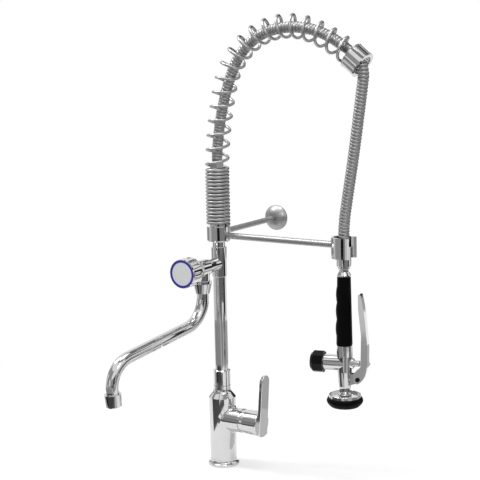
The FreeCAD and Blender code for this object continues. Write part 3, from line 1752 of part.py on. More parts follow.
def drop_hose_route():
    """The free hose: straight runs between the points, joined by tangent arcs."""
    arch = arch_hose_route()
    foot = Vector(S.sprayer_reach.number, 0, S.ferrule_top.number)
    lift = foot.z - DROP_ROUTE_FOOT
    points = [arch.end] + [Vector(x, 0, z + lift) for x, z in DROP_ROUTE] + [foot]
    runs = [(b - a).Length for a, b in zip(points, points[1:])]
    ways = [math.atan2(b.x - a.x, b.z - a.z) % (2 * math.pi) for a, b in zip(points, points[1:])]
    stretches, used, radii = [], 0.0, []
    for index in range(1, len(runs)):
        turn = ways[index] - ways[index - 1]
        reach = CORNER_SHARE * min(runs[index - 1], runs[index])
        radius = reach / math.tan(abs(turn) / 2)
        stretches.append((runs[index - 1] - used - reach, 0))
        stretches.append((radius * abs(turn), turn))
        radii.append(round(radius))
        used = reach
    stretches.append((runs[-1] - used, 0))
    print(f"drop_hose: runs {[round(run) for run in runs]}, radii {radii}")
    return Route(points[0], ways[0], stretches)


def rib_circle(route, run, radius):
    """One circle of the ribbed hose, square to its route."""
    spot, heading = route.at(run)
    way = Vector(math.sin(heading), 0, math.cos(heading))
    across = Vector(0, 1, 0)
    ring = Part.Wire(Part.makeCircle(radius))
    ring.Placement = Placement(spot, Rotation(across, way.cross(across), way, "ZXY"))
    return ring


def ribbed_hose(label, route):
    """A corrugated hose: ribs of four circles each between straight ends, with its bore."""
    lead = 2 * S.hose_radius.number
    count = round((route.length - 2 * lead) / S.rib_pitch.number)
    pitch = (route.length - 2 * lead) / count
    root_size, crest = S.hose_root_radius.number, S.hose_radius.number
    rings = [rib_circle(route, 0, root_size)]
    for rib in range(count):
        for share, size in zip(RIB_SHARES, (root_size, crest, crest, root_size)):
            rings.append(rib_circle(route, lead + (rib + share) * pitch, size))
    rings.append(rib_circle(route, route.length, root_size))
    skin = Part.makeLoft(rings, True, True)
    bore = sweep_round(route.wire(), S.hose_bore_radius.number)
    print(f"{label}: {count} ribs over {route.length:.0f} mm")
    return feature(label, skin.cut(bore))


def make_hoses():
    ribbed_hose("arch_hose", arch_hose_route())
    ribbed_hose("drop_hose", drop_hose_route())


def make_hose_nut():
    body = new_body("hose_nut")
    sketch = polygon(new_sketch(body, "XY_Plane", S.hose_nut_low), 6, S.hose_nut_radius)
    extrude(body, sketch, S.hose_start - S.hose_nut_low)
    low = circle(new_sketch(body, "XY_Plane", S.hose_nut_low), (0, 0), S.hose_nut_bore)
    pocket(body, low, S.hose_nut_floor - S.hose_nut_low, back=True)
    way = circle(new_sketch(body, "XY_Plane", S.hose_nut_low), (0, 0), S.hose_nut_way)
    pocket(body, way, S.hose_start - S.hose_nut_low, back=True)
    return body


def make_hose_ferrule():
    return turned("hose_ferrule", [
        (S.ferrule_bore, S.ferrule_low),
        (S.ferrule_radius - S.ferrule_chamfer, S.ferrule_low),
        (S.ferrule_radius, S.ferrule_low + S.ferrule_chamfer),
        (S.ferrule_radius, S.ferrule_top - S.ferrule_chamfer),
        (S.ferrule_radius - S.ferrule_chamfer, S.ferrule_top),
        (S.ferrule_way, S.ferrule_top),
        (S.ferrule_way, S.ferrule_bore_top),
        (S.ferrule_bore, S.ferrule_bore_top),
    ], base=(S.sprayer_reach, 0, 0))


# Hand sprayer


def sprayer_piece(label, points):
    """A turned piece about the sprayer's upright axis."""
    return turned(label, points, "V_Axis", (S.sprayer_reach, 0, 0), S.sprayer_bearing)


def make_handle_tube():
    return sprayer_piece("handle_tube", [
        (S.tube_bore, S.tube_low),
        (S.tube_radius, S.tube_low),
        (S.tube_radius, S.grip_top),
        (S.cone_radius, S.grip_top),
        (S.cone_radius, S.cone_edge),
        (S.neck_radius, S.neck_low),
        (S.neck_radius, S.neck_top),
        (S.shoulder_radius, S.shoulder_low),
        (S.shoulder_radius, S.shoulder_top),
        (S.tail_radius, S.shoulder_top),
        (S.tail_radius, S.tail_top),
        (S.tube_bore, S.tail_top),
    ])


def make_grip():
    """The rubber sleeve: a slim cone with three finger swells on the side away from the lever."""
    body = new_body("grip", (S.sprayer_reach, 0, 0), S.sprayer_bearing)
    revolve(body, outline(new_sketch(body), [
        (0, S.grip_low),
        (S.grip_low_radius - S.grip_round, S.grip_low),
        (S.grip_low_radius, S.grip_low + S.grip_round, S.grip_round),
        (S.grip_top_radius, S.grip_top - S.grip_round),
        (S.grip_top_radius - S.grip_round, S.grip_top, S.grip_round),
        (0, S.grip_top),
    ]), "V_Axis")
    for height in (S.first_wave, S.second_wave, S.third_wave):
        wave = body.newObject("PartDesign::AdditiveEllipsoid", f"grip_{round(height.number)}")
        wave.AttachmentSupport = [(origin_feature(body, "XY_Plane"), "")]
        wave.MapMode = "FlatFace"
        wave.setExpression("Radius1", S.wave_half_height.text)
        wave.setExpression("Radius2", S.wave_radius.text)
        wave.setExpression("Radius3", S.wave_radius.text)
        wave.setExpression("AttachmentOffset.Base.x", (-S.wave_offset).text)
        wave.setExpression("AttachmentOffset.Base.z", height.text)
        DOC.recompute()
    bore = circle(new_sketch(body, "XY_Plane", S.grip_low), (0, 0), S.grip_bore)
    pocket(body, bore, S.grip_top - S.grip_low, back=True)
    return body


def spray_hull(body):
    """The outer form: barrel that narrows to the neck, side stub, stem boss and lever lug."""
    revolve(body, outline(new_sketch(body), [
        (0, S.spray_end),
        (S.spray_spigot_radius, S.spray_end),
        (S.spray_spigot_radius, S.plate_hub_top + S.spring_seat_gap),
        (S.spray_neck_radius, S.spray_neck),
        (S.spray_low_radius, S.spray_low),
        (S.spray_waist_radius, S.spray_waist),
        (S.spray_shoulder_radius, S.spray_shoulder),
        (S.spray_top_radius, S.spray_top),
        (0, S.spray_top),
    ]), "V_Axis")
    stub = circle(new_sketch(body, "YZ_Plane"), (0, S.valve_height), S.stub_radius)
    extrude(body, stub, S.stub_reach, back=True)
    boss = circle(new_sketch(body, "YZ_Plane"), (0, S.valve_height), S.boss_radius)
    extrude(body, boss, S.boss_reach)
    tip = S.pin_reach + S.lug_round
    lug = outline(new_sketch(body), [
        (0, S.lug_low),
        (S.spray_low_radius, S.lug_low),
        (S.pin_reach, S.pin_height - S.lug_round),
        (tip, S.pin_height, S.lug_round),
        (S.pin_reach, S.pin_height + S.lug_round, S.lug_round),
        (S.spray_waist_radius, S.lug_top),
        (0, S.lug_top),
    ])
    extrude(body, lug, S.lug_half_width * 2, both=True)


def make_spray_body():
    body = new_body("spray_body", (S.sprayer_reach, 0, 0), S.sprayer_bearing)
    spray_hull(body)
    socket = circle(new_sketch(body, "XY_Plane", S.spray_top), (0, 0), S.spray_socket_radius)
    pocket(body, socket, S.spray_top - S.spray_socket)
    way = circle(new_sketch(body, "XY_Plane", S.spray_top), (0, 0), S.spray_way)
    pocket(body, way, S.spray_top - S.spray_end)
    axis = (0, S.valve_height)
    chamber = circle(new_sketch(body, "YZ_Plane", -S.stub_reach), axis, S.valve_chamber_radius)
    pocket(body, chamber, S.stub_reach - S.valve_chamber, back=True)
    hole = circle(new_sketch(body, "YZ_Plane", -S.stub_reach), axis, S.stem_hole)
    pocket(body, hole, S.stub_reach + S.boss_reach, back=True)
    bush = circle(new_sketch(body, "YZ_Plane", S.boss_reach), axis, S.bush_socket_radius)
    pocket(body, bush, S.boss_reach - S.bush_socket)
    pivot = circle(new_sketch(body), (S.pin_reach, S.pin_height), S.pivot_radius)
    pocket(body, pivot, S.lug_half_width * 4, both=True)
    return body


def valve_piece(label, points):
    """A turned piece on the sprayer's valve axis, which runs towards the lever."""
    return turned(label, points, "H_Axis", (S.sprayer_reach, 0, S.valve_height), S.sprayer_bearing)


def make_valve_bush():
    bore = S.stem_radius + S.pin_play
    return valve_piece("valve_bush", bar_outline(S.bush_socket, S.bush_end, S.bush_radius, bore))


def make_valve_stem():
    return valve_piece("valve_stem", [
        (S.stem_rod_end, 0),
        (S.stem_tip, 0),
        (S.stem_tip, S.stem_radius - S.stem_tip_round),
        (S.stem_tip - S.stem_tip_round, S.stem_radius, S.stem_tip_round),
        (S.stem_inner, S.stem_radius),
        (S.stem_inner, S.stem_rod_radius),
        (S.stem_flange + S.stem_tip_round, S.stem_rod_radius),
        (S.stem_flange + S.stem_tip_round, S.stem_flange_radius),
        (S.stem_flange, S.stem_flange_radius),
        (S.stem_flange, S.stem_rod_radius),
        (S.stem_rod_end, S.stem_rod_radius),
    ])


def make_valve_washer():
    bore = S.stem_rod_radius + S.washer_play
    end = S.washer_start - S.washer_thickness
    return valve_piece("valve_washer", bar_outline(end, S.washer_start, S.washer_radius, bore))


def make_valve_cap():
    """The black eight-sided cap on the stub, bevelled at its outer end."""
    body = new_body("valve_cap", (S.sprayer_reach, 0, S.valve_height), S.sprayer_bearing + FULL_TURN / 2)
    sides = polygon(new_sketch(body, "YZ_Plane", S.cap_inner), CAP_SIDES, S.cap_corner_radius)
    extrude(body, sides, S.cap_outer - S.cap_inner)
    wide = S.cap_corner_radius + S.overrun
    end = S.cap_outer + S.overrun
    bevel = outline(new_sketch(body), [
        (S.cap_outer - S.cap_bevel, wide),
        (S.cap_outer - S.cap_bevel, S.cap_corner_radius),
        (S.cap_outer, S.cap_bevel_radius),
        (end, S.cap_bevel_radius),
        (end, wide),
    ])
    revolve(body, bevel, "H_Axis", "PartDesign::Groove")
    ring = new_sketch(body, "YZ_Plane", S.cap_inner)
    circle(ring, (0, 0), S.cap_hole)
    pocket(body, ring, S.cap_bore_end - S.cap_inner, back=True)
    plug = circle(new_sketch(body, "YZ_Plane", S.cap_bore_end), (0, 0), S.cap_plug_radius)
    extrude(body, plug, S.cap_bore_end - S.cap_plug, back=True)
    return body


def make_pivot_pin():
    body = new_body("pivot_pin", (S.sprayer_reach, 0, 0), S.sprayer_bearing)
    spot = (S.pin_reach, S.pin_height)
    extrude(body, circle(new_sketch(body), spot, S.pivot_radius), S.pivot_half_length * 2, both=True)
    for side in (1, -1):
        offset = S.pivot_half_length * side
        head = circle(new_sketch(body, "XZ_Plane", offset), spot, S.pivot_head_radius)
        extrude(body, head, S.pivot_head, back=side < 0)
    return body


def make_squeeze_lever():
    """A pressed channel lever: a curved web with two side flanges that fork over the lug."""
    body = new_body("squeeze_lever", (S.sprayer_reach, 0, 0), S.sprayer_bearing)
    end = S.lever_end_round
    tip_in = S.lever_tip_out - S.lever_tip_depth
    outer = [
        (S.pin_reach - end, S.pin_height),
        (S.pin_reach, S.pin_height - end, end),
        (S.lever_low_out, S.lever_low, S.lever_belly_radius / 3),
        (S.lever_belly_out, S.lever_belly, S.lever_belly_radius),
        (S.lever_mid_out, S.lever_mid, S.lever_belly_radius * 2),
        (S.lever_upper_out, S.lever_upper, S.lever_back_radius),
        (S.lever_tip_out, S.lever_tip, S.lever_back_radius),
        (tip_in, S.lever_tip + S.lever_tip_round, S.lever_tip_depth),
        (tip_in - S.lever_tip_round, S.lever_tip, S.lever_tip_round),
        (S.lever_upper_out - S.lever_depth, S.lever_upper),
        (S.lever_mid_out - S.lever_depth, S.lever_mid),
        (S.lever_belly_out - S.lever_belly_depth, S.lever_belly),
        (S.lever_waist_out, S.lever_waist),
        (S.pin_reach - end, S.lever_low),
    ]
    extrude(body, outline(new_sketch(body), outer), S.lever_half_width * 2, both=True)
    hollow = channel_hollow()
    inner_width = (S.lever_half_width - S.lever_side) * 2
    pocket(body, outline(new_sketch(body), hollow), inner_width, both=True)
    pivot = circle(new_sketch(body), (S.pin_reach, S.pin_height), S.pivot_radius + S.pivot_play)
    pocket(body, pivot, S.lever_half_width * 4, both=True)
    screw = new_sketch(body, "YZ_Plane", S.lever_waist_out)
    circle(screw, (0, S.valve_height), S.adjuster_radius)
    pocket(body, screw, S.lever_belly_out, back=True)
    return body


def channel_hollow():
    """The space between the lever's flanges, open towards the handle and at the fork."""
    web = S.lever_web
    front = S.pin_reach - S.lever_end_round - S.overrun
    low = S.pin_height - S.lever_end_round - S.overrun
    return [
        (front, low),
        (S.pin_reach + S.lever_end_round, low),
        (S.lever_low_out - web, S.lever_low),
        (S.lever_belly_out - web, S.lever_belly, S.lever_belly_radius),
        (S.lever_mid_out - web, S.lever_mid, S.lever_belly_radius * 2),
        (S.lever_upper_out - web, S.lever_upper, S.lever_back_radius),
        (S.lever_tip_out - web, S.lever_tip - web, S.lever_back_radius),
        (front, S.lever_tip - web),
    ]


def make_adjuster():
    valve_piece("adjuster_screw", bar_outline(S.adjuster_tip, S.adjuster_end, S.adjuster_radius))
    body = new_body("adjuster_nut", (S.sprayer_reach, 0, S.valve_height), S.sprayer_bearing)
    web = S.lever_belly_out - S.lever_web - S.adjuster_nut_gap
    sketch = polygon(new_sketch(body, "YZ_Plane", web - S.adjuster_nut), 6, S.adjuster_nut_radius)
    circle(sketch, (0, 0), S.adjuster_radius)
    extrude(body, sketch, S.adjuster_nut)
    return body


def make_spray_plate():
    """The dished chrome plate: raised rim, floor and a hub that takes the neck."""
    wall = S.plate_rim_radius - S.plate_rim_wall
    return sprayer_piece("spray_plate", [
        (S.plate_bore, S.plate_hub_low),
        (S.plate_rim_radius, S.plate_hub_low),
        (S.plate_rim_radius, S.plate_rim_top - S.plate_rim_wall / 2),
        (wall, S.plate_rim_top - S.plate_rim_wall / 2, S.plate_rim_wall / 2),
        (wall, S.plate_floor_top),
        (S.plate_hub_radius, S.plate_floor_top),
        (S.plate_hub_radius, S.plate_hub_top - S.grip_round),
        (S.plate_hub_radius - S.grip_round, S.plate_hub_top, S.grip_round),
        (S.plate_bore, S.plate_hub_top),
    ])


def make_bumper_ring():
    """The rubber ring under the plate: widest near its top, drawn in below."""
    return sprayer_piece("bumper_ring", [
        (S.bumper_inner, S.bumper_top),
        (S.bumper_inner, S.bumper_lip),
        (S.bumper_lip_radius, S.bumper_low),
        (S.bumper_low_radius, S.bumper_low),
        (S.bumper_radius, S.bumper_wide, S.bumper_bulge_radius * 2),
        (S.bumper_top_radius, S.bumper_top, S.bumper_bulge_radius / 3),
    ])


def make_spray_nozzle():
    """The spray face: a hollow disc with two rings of jets."""
    body = sprayer_piece("spray_nozzle", [
        (0, S.nozzle_low),
        (S.nozzle_radius, S.nozzle_low),
        (S.nozzle_radius, S.nozzle_top),
        (S.spray_way, S.nozzle_top),
        (S.spray_way, S.nozzle_roof),
        (S.nozzle_chamber_radius, S.nozzle_roof),
        (S.nozzle_chamber_radius, S.nozzle_chamber),
        (0, S.nozzle_chamber),
    ])
    rings = ((S.nozzle_inner_ring, NOZZLE_INNER_HOLES), (S.nozzle_outer_ring, NOZZLE_OUTER_HOLES))
    for ring, count in rings:
        jet = circle(new_sketch(body, "XY_Plane", S.nozzle_low), (ring, 0), S.nozzle_hole_radius)
        cut = pocket(body, jet, S.nozzle_chamber - S.nozzle_low, back=True)
        repeat_round(body, cut, "Z_Axis", count)
    return body


def build_all():
    """Makes every piece of the faucet."""
    make_base_ring()
    make_base_gasket()
    make_mixer_body()
    make_cartridge()
    make_cartridge_nut()
    make_cartridge_cap()
    make_cartridge_rotor()
    make_stem_pin()
    make_cartridge_stem()
    make_mixer_lever()
    make_lever_screw()
    make_riser_coupling()
    make_riser_tube()
    make_upper_riser()
    make_tee_body()
    make_tap_body()
    make_tap_headwork()
    make_tap_spindle()
    make_tap_knob()
    make_knob_inlays()
    make_knob_screw()
    make_spout_tube()
    make_spout_seal()
    make_spout_nut()
    make_aerator_housing()
    make_aerator_insert()
    make_spring_collar()
    make_collar_screws()
    make_holder_arm()
    make_holder_clip()
    make_wall_rod()
    make_wall_flange()
    make_arch_spring()
    make_spring_cap()
    make_hoses()
    make_hose_nut()
    make_hose_ferrule()
    make_handle_tube()
    make_grip()
    make_spray_body()
    make_valve_bush()
    make_valve_stem()
    make_valve_washer()
    make_valve_cap()
    make_pivot_pin()
    make_squeeze_lever()
    make_adjuster()
    make_spray_plate()
    make_bumper_ring()
    make_spray_nozzle()
    DOC.recompute()


def check_and_write():
    """Stops on any failed object, then writes each piece as its own STEP file."""
    for item in DOC.Objects:
        if {"Invalid", "Error"} & set(item.State):
            raise ValueError(f"{item.Name} failed: {item.State}")
    pieces = [item for item in DOC.Objects if item.TypeId in ("PartDesign::Body", "Part::Feature")]
    for piece in pieces:
        if piece.Shape.isNull() or not piece.Shape.isValid() or not piece.Shape.Solids:
            raise ValueError(f"{piece.Label} is not a valid solid")
    os.makedirs("parts", exist_ok=True)
    for piece in pieces:
        piece.Shape.exportStep(f"parts/{piece.Label}.step")
    print(f"{len(pieces)} pieces written")


build_all()
check_and_write()
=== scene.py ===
"""A kitchen faucet with a spring arch, a swinging spout and a hand sprayer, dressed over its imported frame."""
import json
import math
from functools import partial

import bmesh
import bpy
from bpy.props import FloatProperty, FloatVectorProperty, IntProperty, PointerProperty
from bpy.types import Operator, Panel, PropertyGroup
from mathutils import Matrix, Vector


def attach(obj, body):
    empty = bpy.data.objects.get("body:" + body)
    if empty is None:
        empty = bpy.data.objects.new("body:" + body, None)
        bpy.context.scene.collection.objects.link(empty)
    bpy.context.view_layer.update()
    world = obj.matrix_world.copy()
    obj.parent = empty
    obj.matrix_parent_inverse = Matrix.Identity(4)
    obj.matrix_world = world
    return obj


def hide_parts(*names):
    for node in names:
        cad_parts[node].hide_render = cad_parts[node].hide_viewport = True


bl_info = {
    "name": "Spring arch kitchen faucet",
    "version": (1, 0, 0),
    "blender": (4, 5, 0),
    "location": "View3D > Sidebar > Faucet",
    "description": "Makes the wound, ribbed and rubber pieces of a kitchen faucet and all its finishes",
    "category": "Add Mesh",
}

MM = 0.001
FULL_TURN = 2 * math.pi
SENSOR_WIDTH = 36.0

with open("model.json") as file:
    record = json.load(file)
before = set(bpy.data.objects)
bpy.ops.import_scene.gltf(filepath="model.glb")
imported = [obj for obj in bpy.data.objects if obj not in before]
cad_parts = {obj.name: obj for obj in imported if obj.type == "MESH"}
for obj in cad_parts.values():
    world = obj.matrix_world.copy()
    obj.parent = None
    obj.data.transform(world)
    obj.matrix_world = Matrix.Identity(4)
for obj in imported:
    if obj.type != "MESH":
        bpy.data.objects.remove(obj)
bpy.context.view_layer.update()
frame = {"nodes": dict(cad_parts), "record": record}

# The free hose, from the spring cap to the sprayer: x and z in metres.
DROP_ROUTE = (
    (0.2513, 0.7155),
    (0.2814, 0.6962),
    (0.2744, 0.6450),
    (0.2614, 0.5560),
    (0.2486, 0.4820),
    (0.2410, 0.4360),
    (0.2410, 0.4020),
)
ROUTE_STEPS = 24
ROUTE_ORDER = 3


def length(name, description, millimetres):
    """A length that a user may change, shown in the scene's units."""
    return FloatProperty(
        name=name, description=description, default=millimetres * MM, min=0.0, unit="LENGTH", precision=5
    )


def angle(name, description, degrees):
    """An angle that a user may change."""
    return FloatProperty(name=name, description=description, default=math.radians(degrees), unit="ROTATION")


def srgb(code):
    """A hex colour as linear red, green, blue and alpha."""
    shades = [int(code[place:place + 2], 16) / 255 for place in (1, 3, 5)]
    return (*[c / 12.92 if c <= 0.04045 else ((c + 0.055) / 1.055) ** 2.4 for c in shades], 1.0)


def colour(name, description, code):
    """A colour that a user may change."""
    return FloatVectorProperty(
        name=name, description=description, subtype="COLOR", size=4, min=0.0, max=1.0, default=srgb(code)
    )


class FaucetSpringSizes(PropertyGroup):
    """Sizes of the coil spring that holds the arch up."""

    coil_radius: length("Coil radius", "From the spring's centreline to the middle of its wire", 18.0)
    wire_radius: length("Wire radius", "Half the thickness of the spring's wire", 2.55)
    closed_pitch: length("Closed pitch", "Rise of one turn in the closed lower part", 5.95)
    closed_turns: FloatProperty(name="Closed turns", description="Turns of the closed part", default=16.4)
    open_turns: FloatProperty(name="Open turns", description="Turns of the open part", default=18.4)
    seat: length("Seat height", "Height of the wire's middle at the foot of the spring", 421.9)
    rise: length("Straight height", "Height at which the spring starts to lean", 498.0)
    lean_run: length("Lean run", "Length of the first slow bend", 162.0)
    lean_turn: angle("Lean turn", "Angle of the first slow bend", 14.9)
    crown_run: length("Crown run", "Length of the crown of the arch", 211.5)
    crown_turn: angle("Crown turn", "Angle of the crown of the arch", 95.1)
    fall_run: length("Fall run", "Length of the bend down to the cap", 79.8)
    fall_turn: angle("Fall turn", "Angle of the bend down to the cap", 18.6)
    cap_run: length("Cap run", "Straight end inside the spring cap", 10.0)


class FaucetHoseSizes(PropertyGroup):
    """Sizes of the corrugated hose in the arch and below it."""

    crest_radius: length("Crest radius", "Outer radius of a rib", 9.2)
    root_radius: length("Root radius", "Radius between two ribs", 8.1)
    rib_pitch: length("Rib pitch", "Length of one rib", 5.4)
    plain_end: length("Plain end", "Straight length at each end of the hose in the arch", 18.4)
    smooth_end: length("Smooth end", "Length without ribs at each end of a hose", 2.0)
    start: length("Start height", "Height at which the hose leaves its nut", 527.4)
    lead_bend: length("Lead bend", "Radius of the hose's first bend", 320.0)
    lead_turn: angle("Lead turn", "Angle of the hose's first bend", 25.43)
    crown_bend: length("Crown bend", "Radius of the hose's crown", 117.5)
    crown_turn: angle("Crown turn", "Angle of the hose's crown", 50.6)
    fall_bend: length("Fall bend", "Radius of the hose's last bend", 161.7)
    fall_turn: angle("Fall turn", "Angle of the hose's last bend", 46.97)


class FaucetSprayerSizes(PropertyGroup):
    """Sizes of the sprayer's rubber pieces and its adjuster thread."""

    reach: length("Sprayer reach", "From the column to the sprayer's axis", 241.0)
    bearing: angle("Lever bearing", "Direction in which the squeeze lever stands out", 15.0)
    grip_low: length("Grip foot", "Height of the grip's lower end", 240.3)
    grip_top: length("Grip top", "Height of the grip's upper end", 354.1)
    grip_low_radius: length("Grip foot radius", "Radius of the grip at its foot", 13.2)
    grip_top_radius: length("Grip top radius", "Radius of the grip at its top", 11.1)
    grip_bore: length("Grip bore", "Radius of the grip's bore", 8.6)
    grip_round: length("Grip rounding", "Rounding of the grip's ends", 1.6)
    swell_height: length("Swell height", "How far a finger swell stands out of the grip", 1.5)
    swell_half_height: length("Swell half height", "Half the height of a finger swell", 13.0)
    thread_radius: length("Thread radius", "Outer radius of the adjuster screw", 2.5)
    thread_pitch: length("Thread pitch", "Pitch of the adjuster screw", 0.8)
    ridge_radius: length("Ridge radius", "Half the thickness of the thread's ridge", 0.3)
    thread_height: length("Adjuster height", "Height of the adjuster screw", 210.5)
    thread_start: length("Thread start", "From the sprayer's axis to the thread's inner end", 26.6)
    thread_end: length("Thread end", "From the sprayer's axis to the thread's outer end", 41.2)


class FaucetFinishes(PropertyGroup):
    """Colours of the faucet's materials."""

    chrome: colour("Chrome", "Polished chrome plate", "#D6D6D6")
    # The plated zinc is paler than the chrome: painted light that brightens the squeeze lever.
    zinc: colour("Plated zinc", "Chrome plate on die-cast zinc", "#E6E6E6")
    wire: colour("Spring wire", "Bright drawn spring wire", "#B8B8B8")
    hose: colour("Hose steel", "Corrugated stainless hose", "#AAAAAA")
    rod: colour("Rod steel", "Drawn stainless bar", "#ACACAC")
    steel: colour("Steel", "Turned stainless steel", "#C4C4C2")
    brass: colour("Brass", "Machined brass", "#C9A45C")
    rubber: colour("Grip rubber", "Black moulded rubber", "#030303")
    plastic: colour("Black plastic", "Black moulded ABS", "#060607")
    ring: colour("Index ring", "Blue acrylic ring", "#14107C")
    disc: colour("Index disc", "Pale printed disc", "#C6C8C8")
    halo: colour("Disc halo", "Lilac halo inside the disc's blue border", "#BDBCF2")
    disc_height: length("Disc height", "Height of the disc's centre", 355.0)
    halo_radius: length("Halo radius", "Inner radius of the disc's lilac halo", 17.9)
    border_radius: length("Border radius", "Inner radius of the disc's blue border", 19.2)


class FaucetStage(PropertyGroup):
    """Camera and light of the studio."""

    azimuth: angle("Camera azimuth", "How far the camera stands to the right of the front", 34.0)
    pitch: angle("Camera pitch", "How far the camera looks down", 9.5)
    roll: angle("Camera roll", "How far the picture leans to the left", 1.2)
    swing: angle("Camera swing", "How far the camera looks to the right of the column", 0.912)
    distance: length("Camera distance", "Level distance from the column to the camera", 2263.0)
    height: length("Camera height", "Height of the camera over the deck", 773.0)
    lens: FloatProperty(name="Lens", description="Focal length for a 36 mm sensor", default=101.25)
    white: colour("Backdrop", "Colour of floor and backdrop", "#FFFFFF")
    room_light: FloatProperty(name="Room light", description="Strength of the even light", default=0.72)


def feed(tree, node, inputs):
    """Gives a node's inputs their values; each is a value, a socket, or a node for its first output."""
    for name, value in inputs.items():
        if isinstance(value, bpy.types.Node):
            value = value.outputs[0]
        if isinstance(value, bpy.types.NodeSocket):
            tree.links.new(value, node.inputs[name])
        else:
            node.inputs[name].default_value = value


def add_node(tree, kind, inputs=None, **settings):
    """Adds a node with its settings and its inputs."""
    made = tree.nodes.new(kind)
    for name, value in settings.items():
        setattr(made, name, value)
    feed(tree, made, inputs or {})
    return made


def empty_tree(owner):
    """The emptied node tree of a material or a world."""
    owner.use_nodes = True
    owner.node_tree.nodes.clear()
    return owner.node_tree


def shade(tone, share):
    """A colour made darker or lighter by a share."""
    return (*[min(1.0, part * share) for part in tone[:3]], 1.0)


# Where a Mix node has its two colours and its mixed colour among its sockets.
COLOUR_A, COLOUR_B, COLOUR_RESULT = 6, 7, 2

# The range in which most values of a noise lie.
MIDDLE = {"From Min": 0.3, "From Max": 0.7}


class Surface:
    """A new material, its node tree, its shader and its Object coordinates."""

    def __init__(self, name):
        self.material = bpy.data.materials.new(name)
        self.tree = empty_tree(self.material)
        self.shader = add_node(self.tree, "ShaderNodeBsdfPrincipled")
        add_node(self.tree, "ShaderNodeOutputMaterial", {"Surface": self.shader})
        self.place = add_node(self.tree, "ShaderNodeTexCoord").outputs["Object"]

    def pattern(self, kind, inputs):
        """A node that reads the Object coordinates, unless its inputs say otherwise."""
        return add_node(self.tree, kind, {"Vector": self.place, **inputs})

    def cover(self, share, colours, roughness, inputs, relief=None):
        """Gives the shader two colours mixed by a share, a roughness, a relief and its other inputs.

        A roughness is a number, or a pattern with the least and the most that it gives. A relief is a height,
        the depth in metres that its whole range stands for, and its strength.
        """
        mix = {"Factor": share, COLOUR_A: colours[0], COLOUR_B: colours[1]}
        tone = add_node(self.tree, "ShaderNodeMix", mix, data_type="RGBA").outputs[COLOUR_RESULT]
        if isinstance(roughness, tuple):
            pattern, least, most = roughness
            span = {"Value": pattern, **MIDDLE, "To Min": least, "To Max": most}
            roughness = add_node(self.tree, "ShaderNodeMapRange", span)
        feed(self.tree, self.shader, {"Base Color": tone, "Roughness": roughness, **inputs})
        if relief:
            height, depth, strength = relief
            raised = {"Height": height, "Distance": depth, "Strength": strength}
            feed(self.tree, self.shader, {"Normal": add_node(self.tree, "ShaderNodeBump", raised)})

    def metal(self, share, bright, dull, roughness, relief=None):
        """Bare metal, whose colour clouds down to a share of itself."""
        self.cover(share, (bright, shade(bright, dull)), roughness, {"Metallic": 1.0}, relief)


def polished_chrome(face, finishes):
    """Chrome plate on buffed brass: a clear mirror, with faint buffing haze and slow waves in the metal."""
    haze = face.pattern("ShaderNodeTexNoise", {"Scale": 1 / (22 * MM), "Detail": 3.0})
    wave = face.pattern("ShaderNodeTexNoise", {"Scale": 1 / (14 * MM), "Detail": 1.0})
    face.metal(haze, finishes.chrome, 0.94, (haze, 0.035, 0.085), (wave, 0.03 * MM, 0.5))


def drawn_spring_wire(face, finishes):
    """Stainless wire drawn bright through a die: a soft shine with fine streaks along the wire."""
    along = add_node(face.tree, "ShaderNodeAttribute", attribute_name="winding").outputs["Vector"]
    stretch = add_node(face.tree, "ShaderNodeMapping", {"Vector": along, "Scale": (0.06, 1.0, 1.0)})
    streak = face.pattern("ShaderNodeTexNoise", {"Vector": stretch, "Scale": 1 / (0.5 * MM), "Detail": 3.0})
    cloud = face.pattern("ShaderNodeTexNoise", {"Scale": 1 / (9 * MM)})
    face.metal(cloud, finishes.wire, 0.88, (streak, 0.3, 0.4), (streak, 0.02 * MM, 0.4))


def corrugated_stainless(face, finishes):
    """Rolled stainless hose: satin crests that shine, and roots between them darkened with painted shade."""
    rib = add_node(face.tree, "ShaderNodeAttribute", attribute_name="rib").outputs["Fac"]
    unshaded_crest = add_node(face.tree, "ShaderNodeMapRange", {"Value": rib, "From Max": 0.8})
    scratch = face.pattern("ShaderNodeTexNoise", {"Scale": 1 / (1.2 * MM), "Detail": 4.0})
    # Painted shade: the roots between the ribs get 0.42 of the hose's colour, and the crests get all of it.
    tones = (shade(finishes.hose, 0.42), finishes.hose)
    face.cover(unshaded_crest, tones, (scratch, 0.38, 0.5), {"Metallic": 1.0}, (scratch, 0.02 * MM, 0.2))


def satin_stainless_bar(face, finishes):
    """Stainless bar drawn and buffed satin: an even grey with one soft line of light, and slow clouds."""
    cloud = face.pattern("ShaderNodeTexNoise", {"Scale": 1 / (11 * MM), "Detail": 3.0})
    brushing = face.pattern("ShaderNodeTexNoise", {"Scale": 1 / (0.5 * MM), "Detail": 3.0})
    face.metal(cloud, finishes.rod, 0.86, (cloud, 0.36, 0.44), (brushing, 0.01 * MM, 0.4))


def turned_stainless(face, finishes):
    """Stainless steel off the lathe: a brushed shine with small nicks."""
    nick = face.pattern("ShaderNodeTexNoise", {"Scale": 1 / (0.6 * MM), "Detail": 4.0})
    face.metal(nick, finishes.steel, 0.8, (nick, 0.22, 0.36), (nick, 0.02 * MM, 0.5))


def paler_lit_chrome_on_zinc(face, finishes):
    """Bright chrome on die-cast zinc, paler than the chrome on brass as painted light, over the soft swells of
    the casting.
    """
    haze = face.pattern("ShaderNodeTexNoise", {"Scale": 1 / (12 * MM), "Detail": 3.0})
    swell = face.pattern("ShaderNodeTexNoise", {"Scale": 1 / (9 * MM), "Detail": 1.0})
    face.metal(haze, finishes.zinc, 0.96, (haze, 0.05, 0.12), (swell, 0.05 * MM, 0.7))


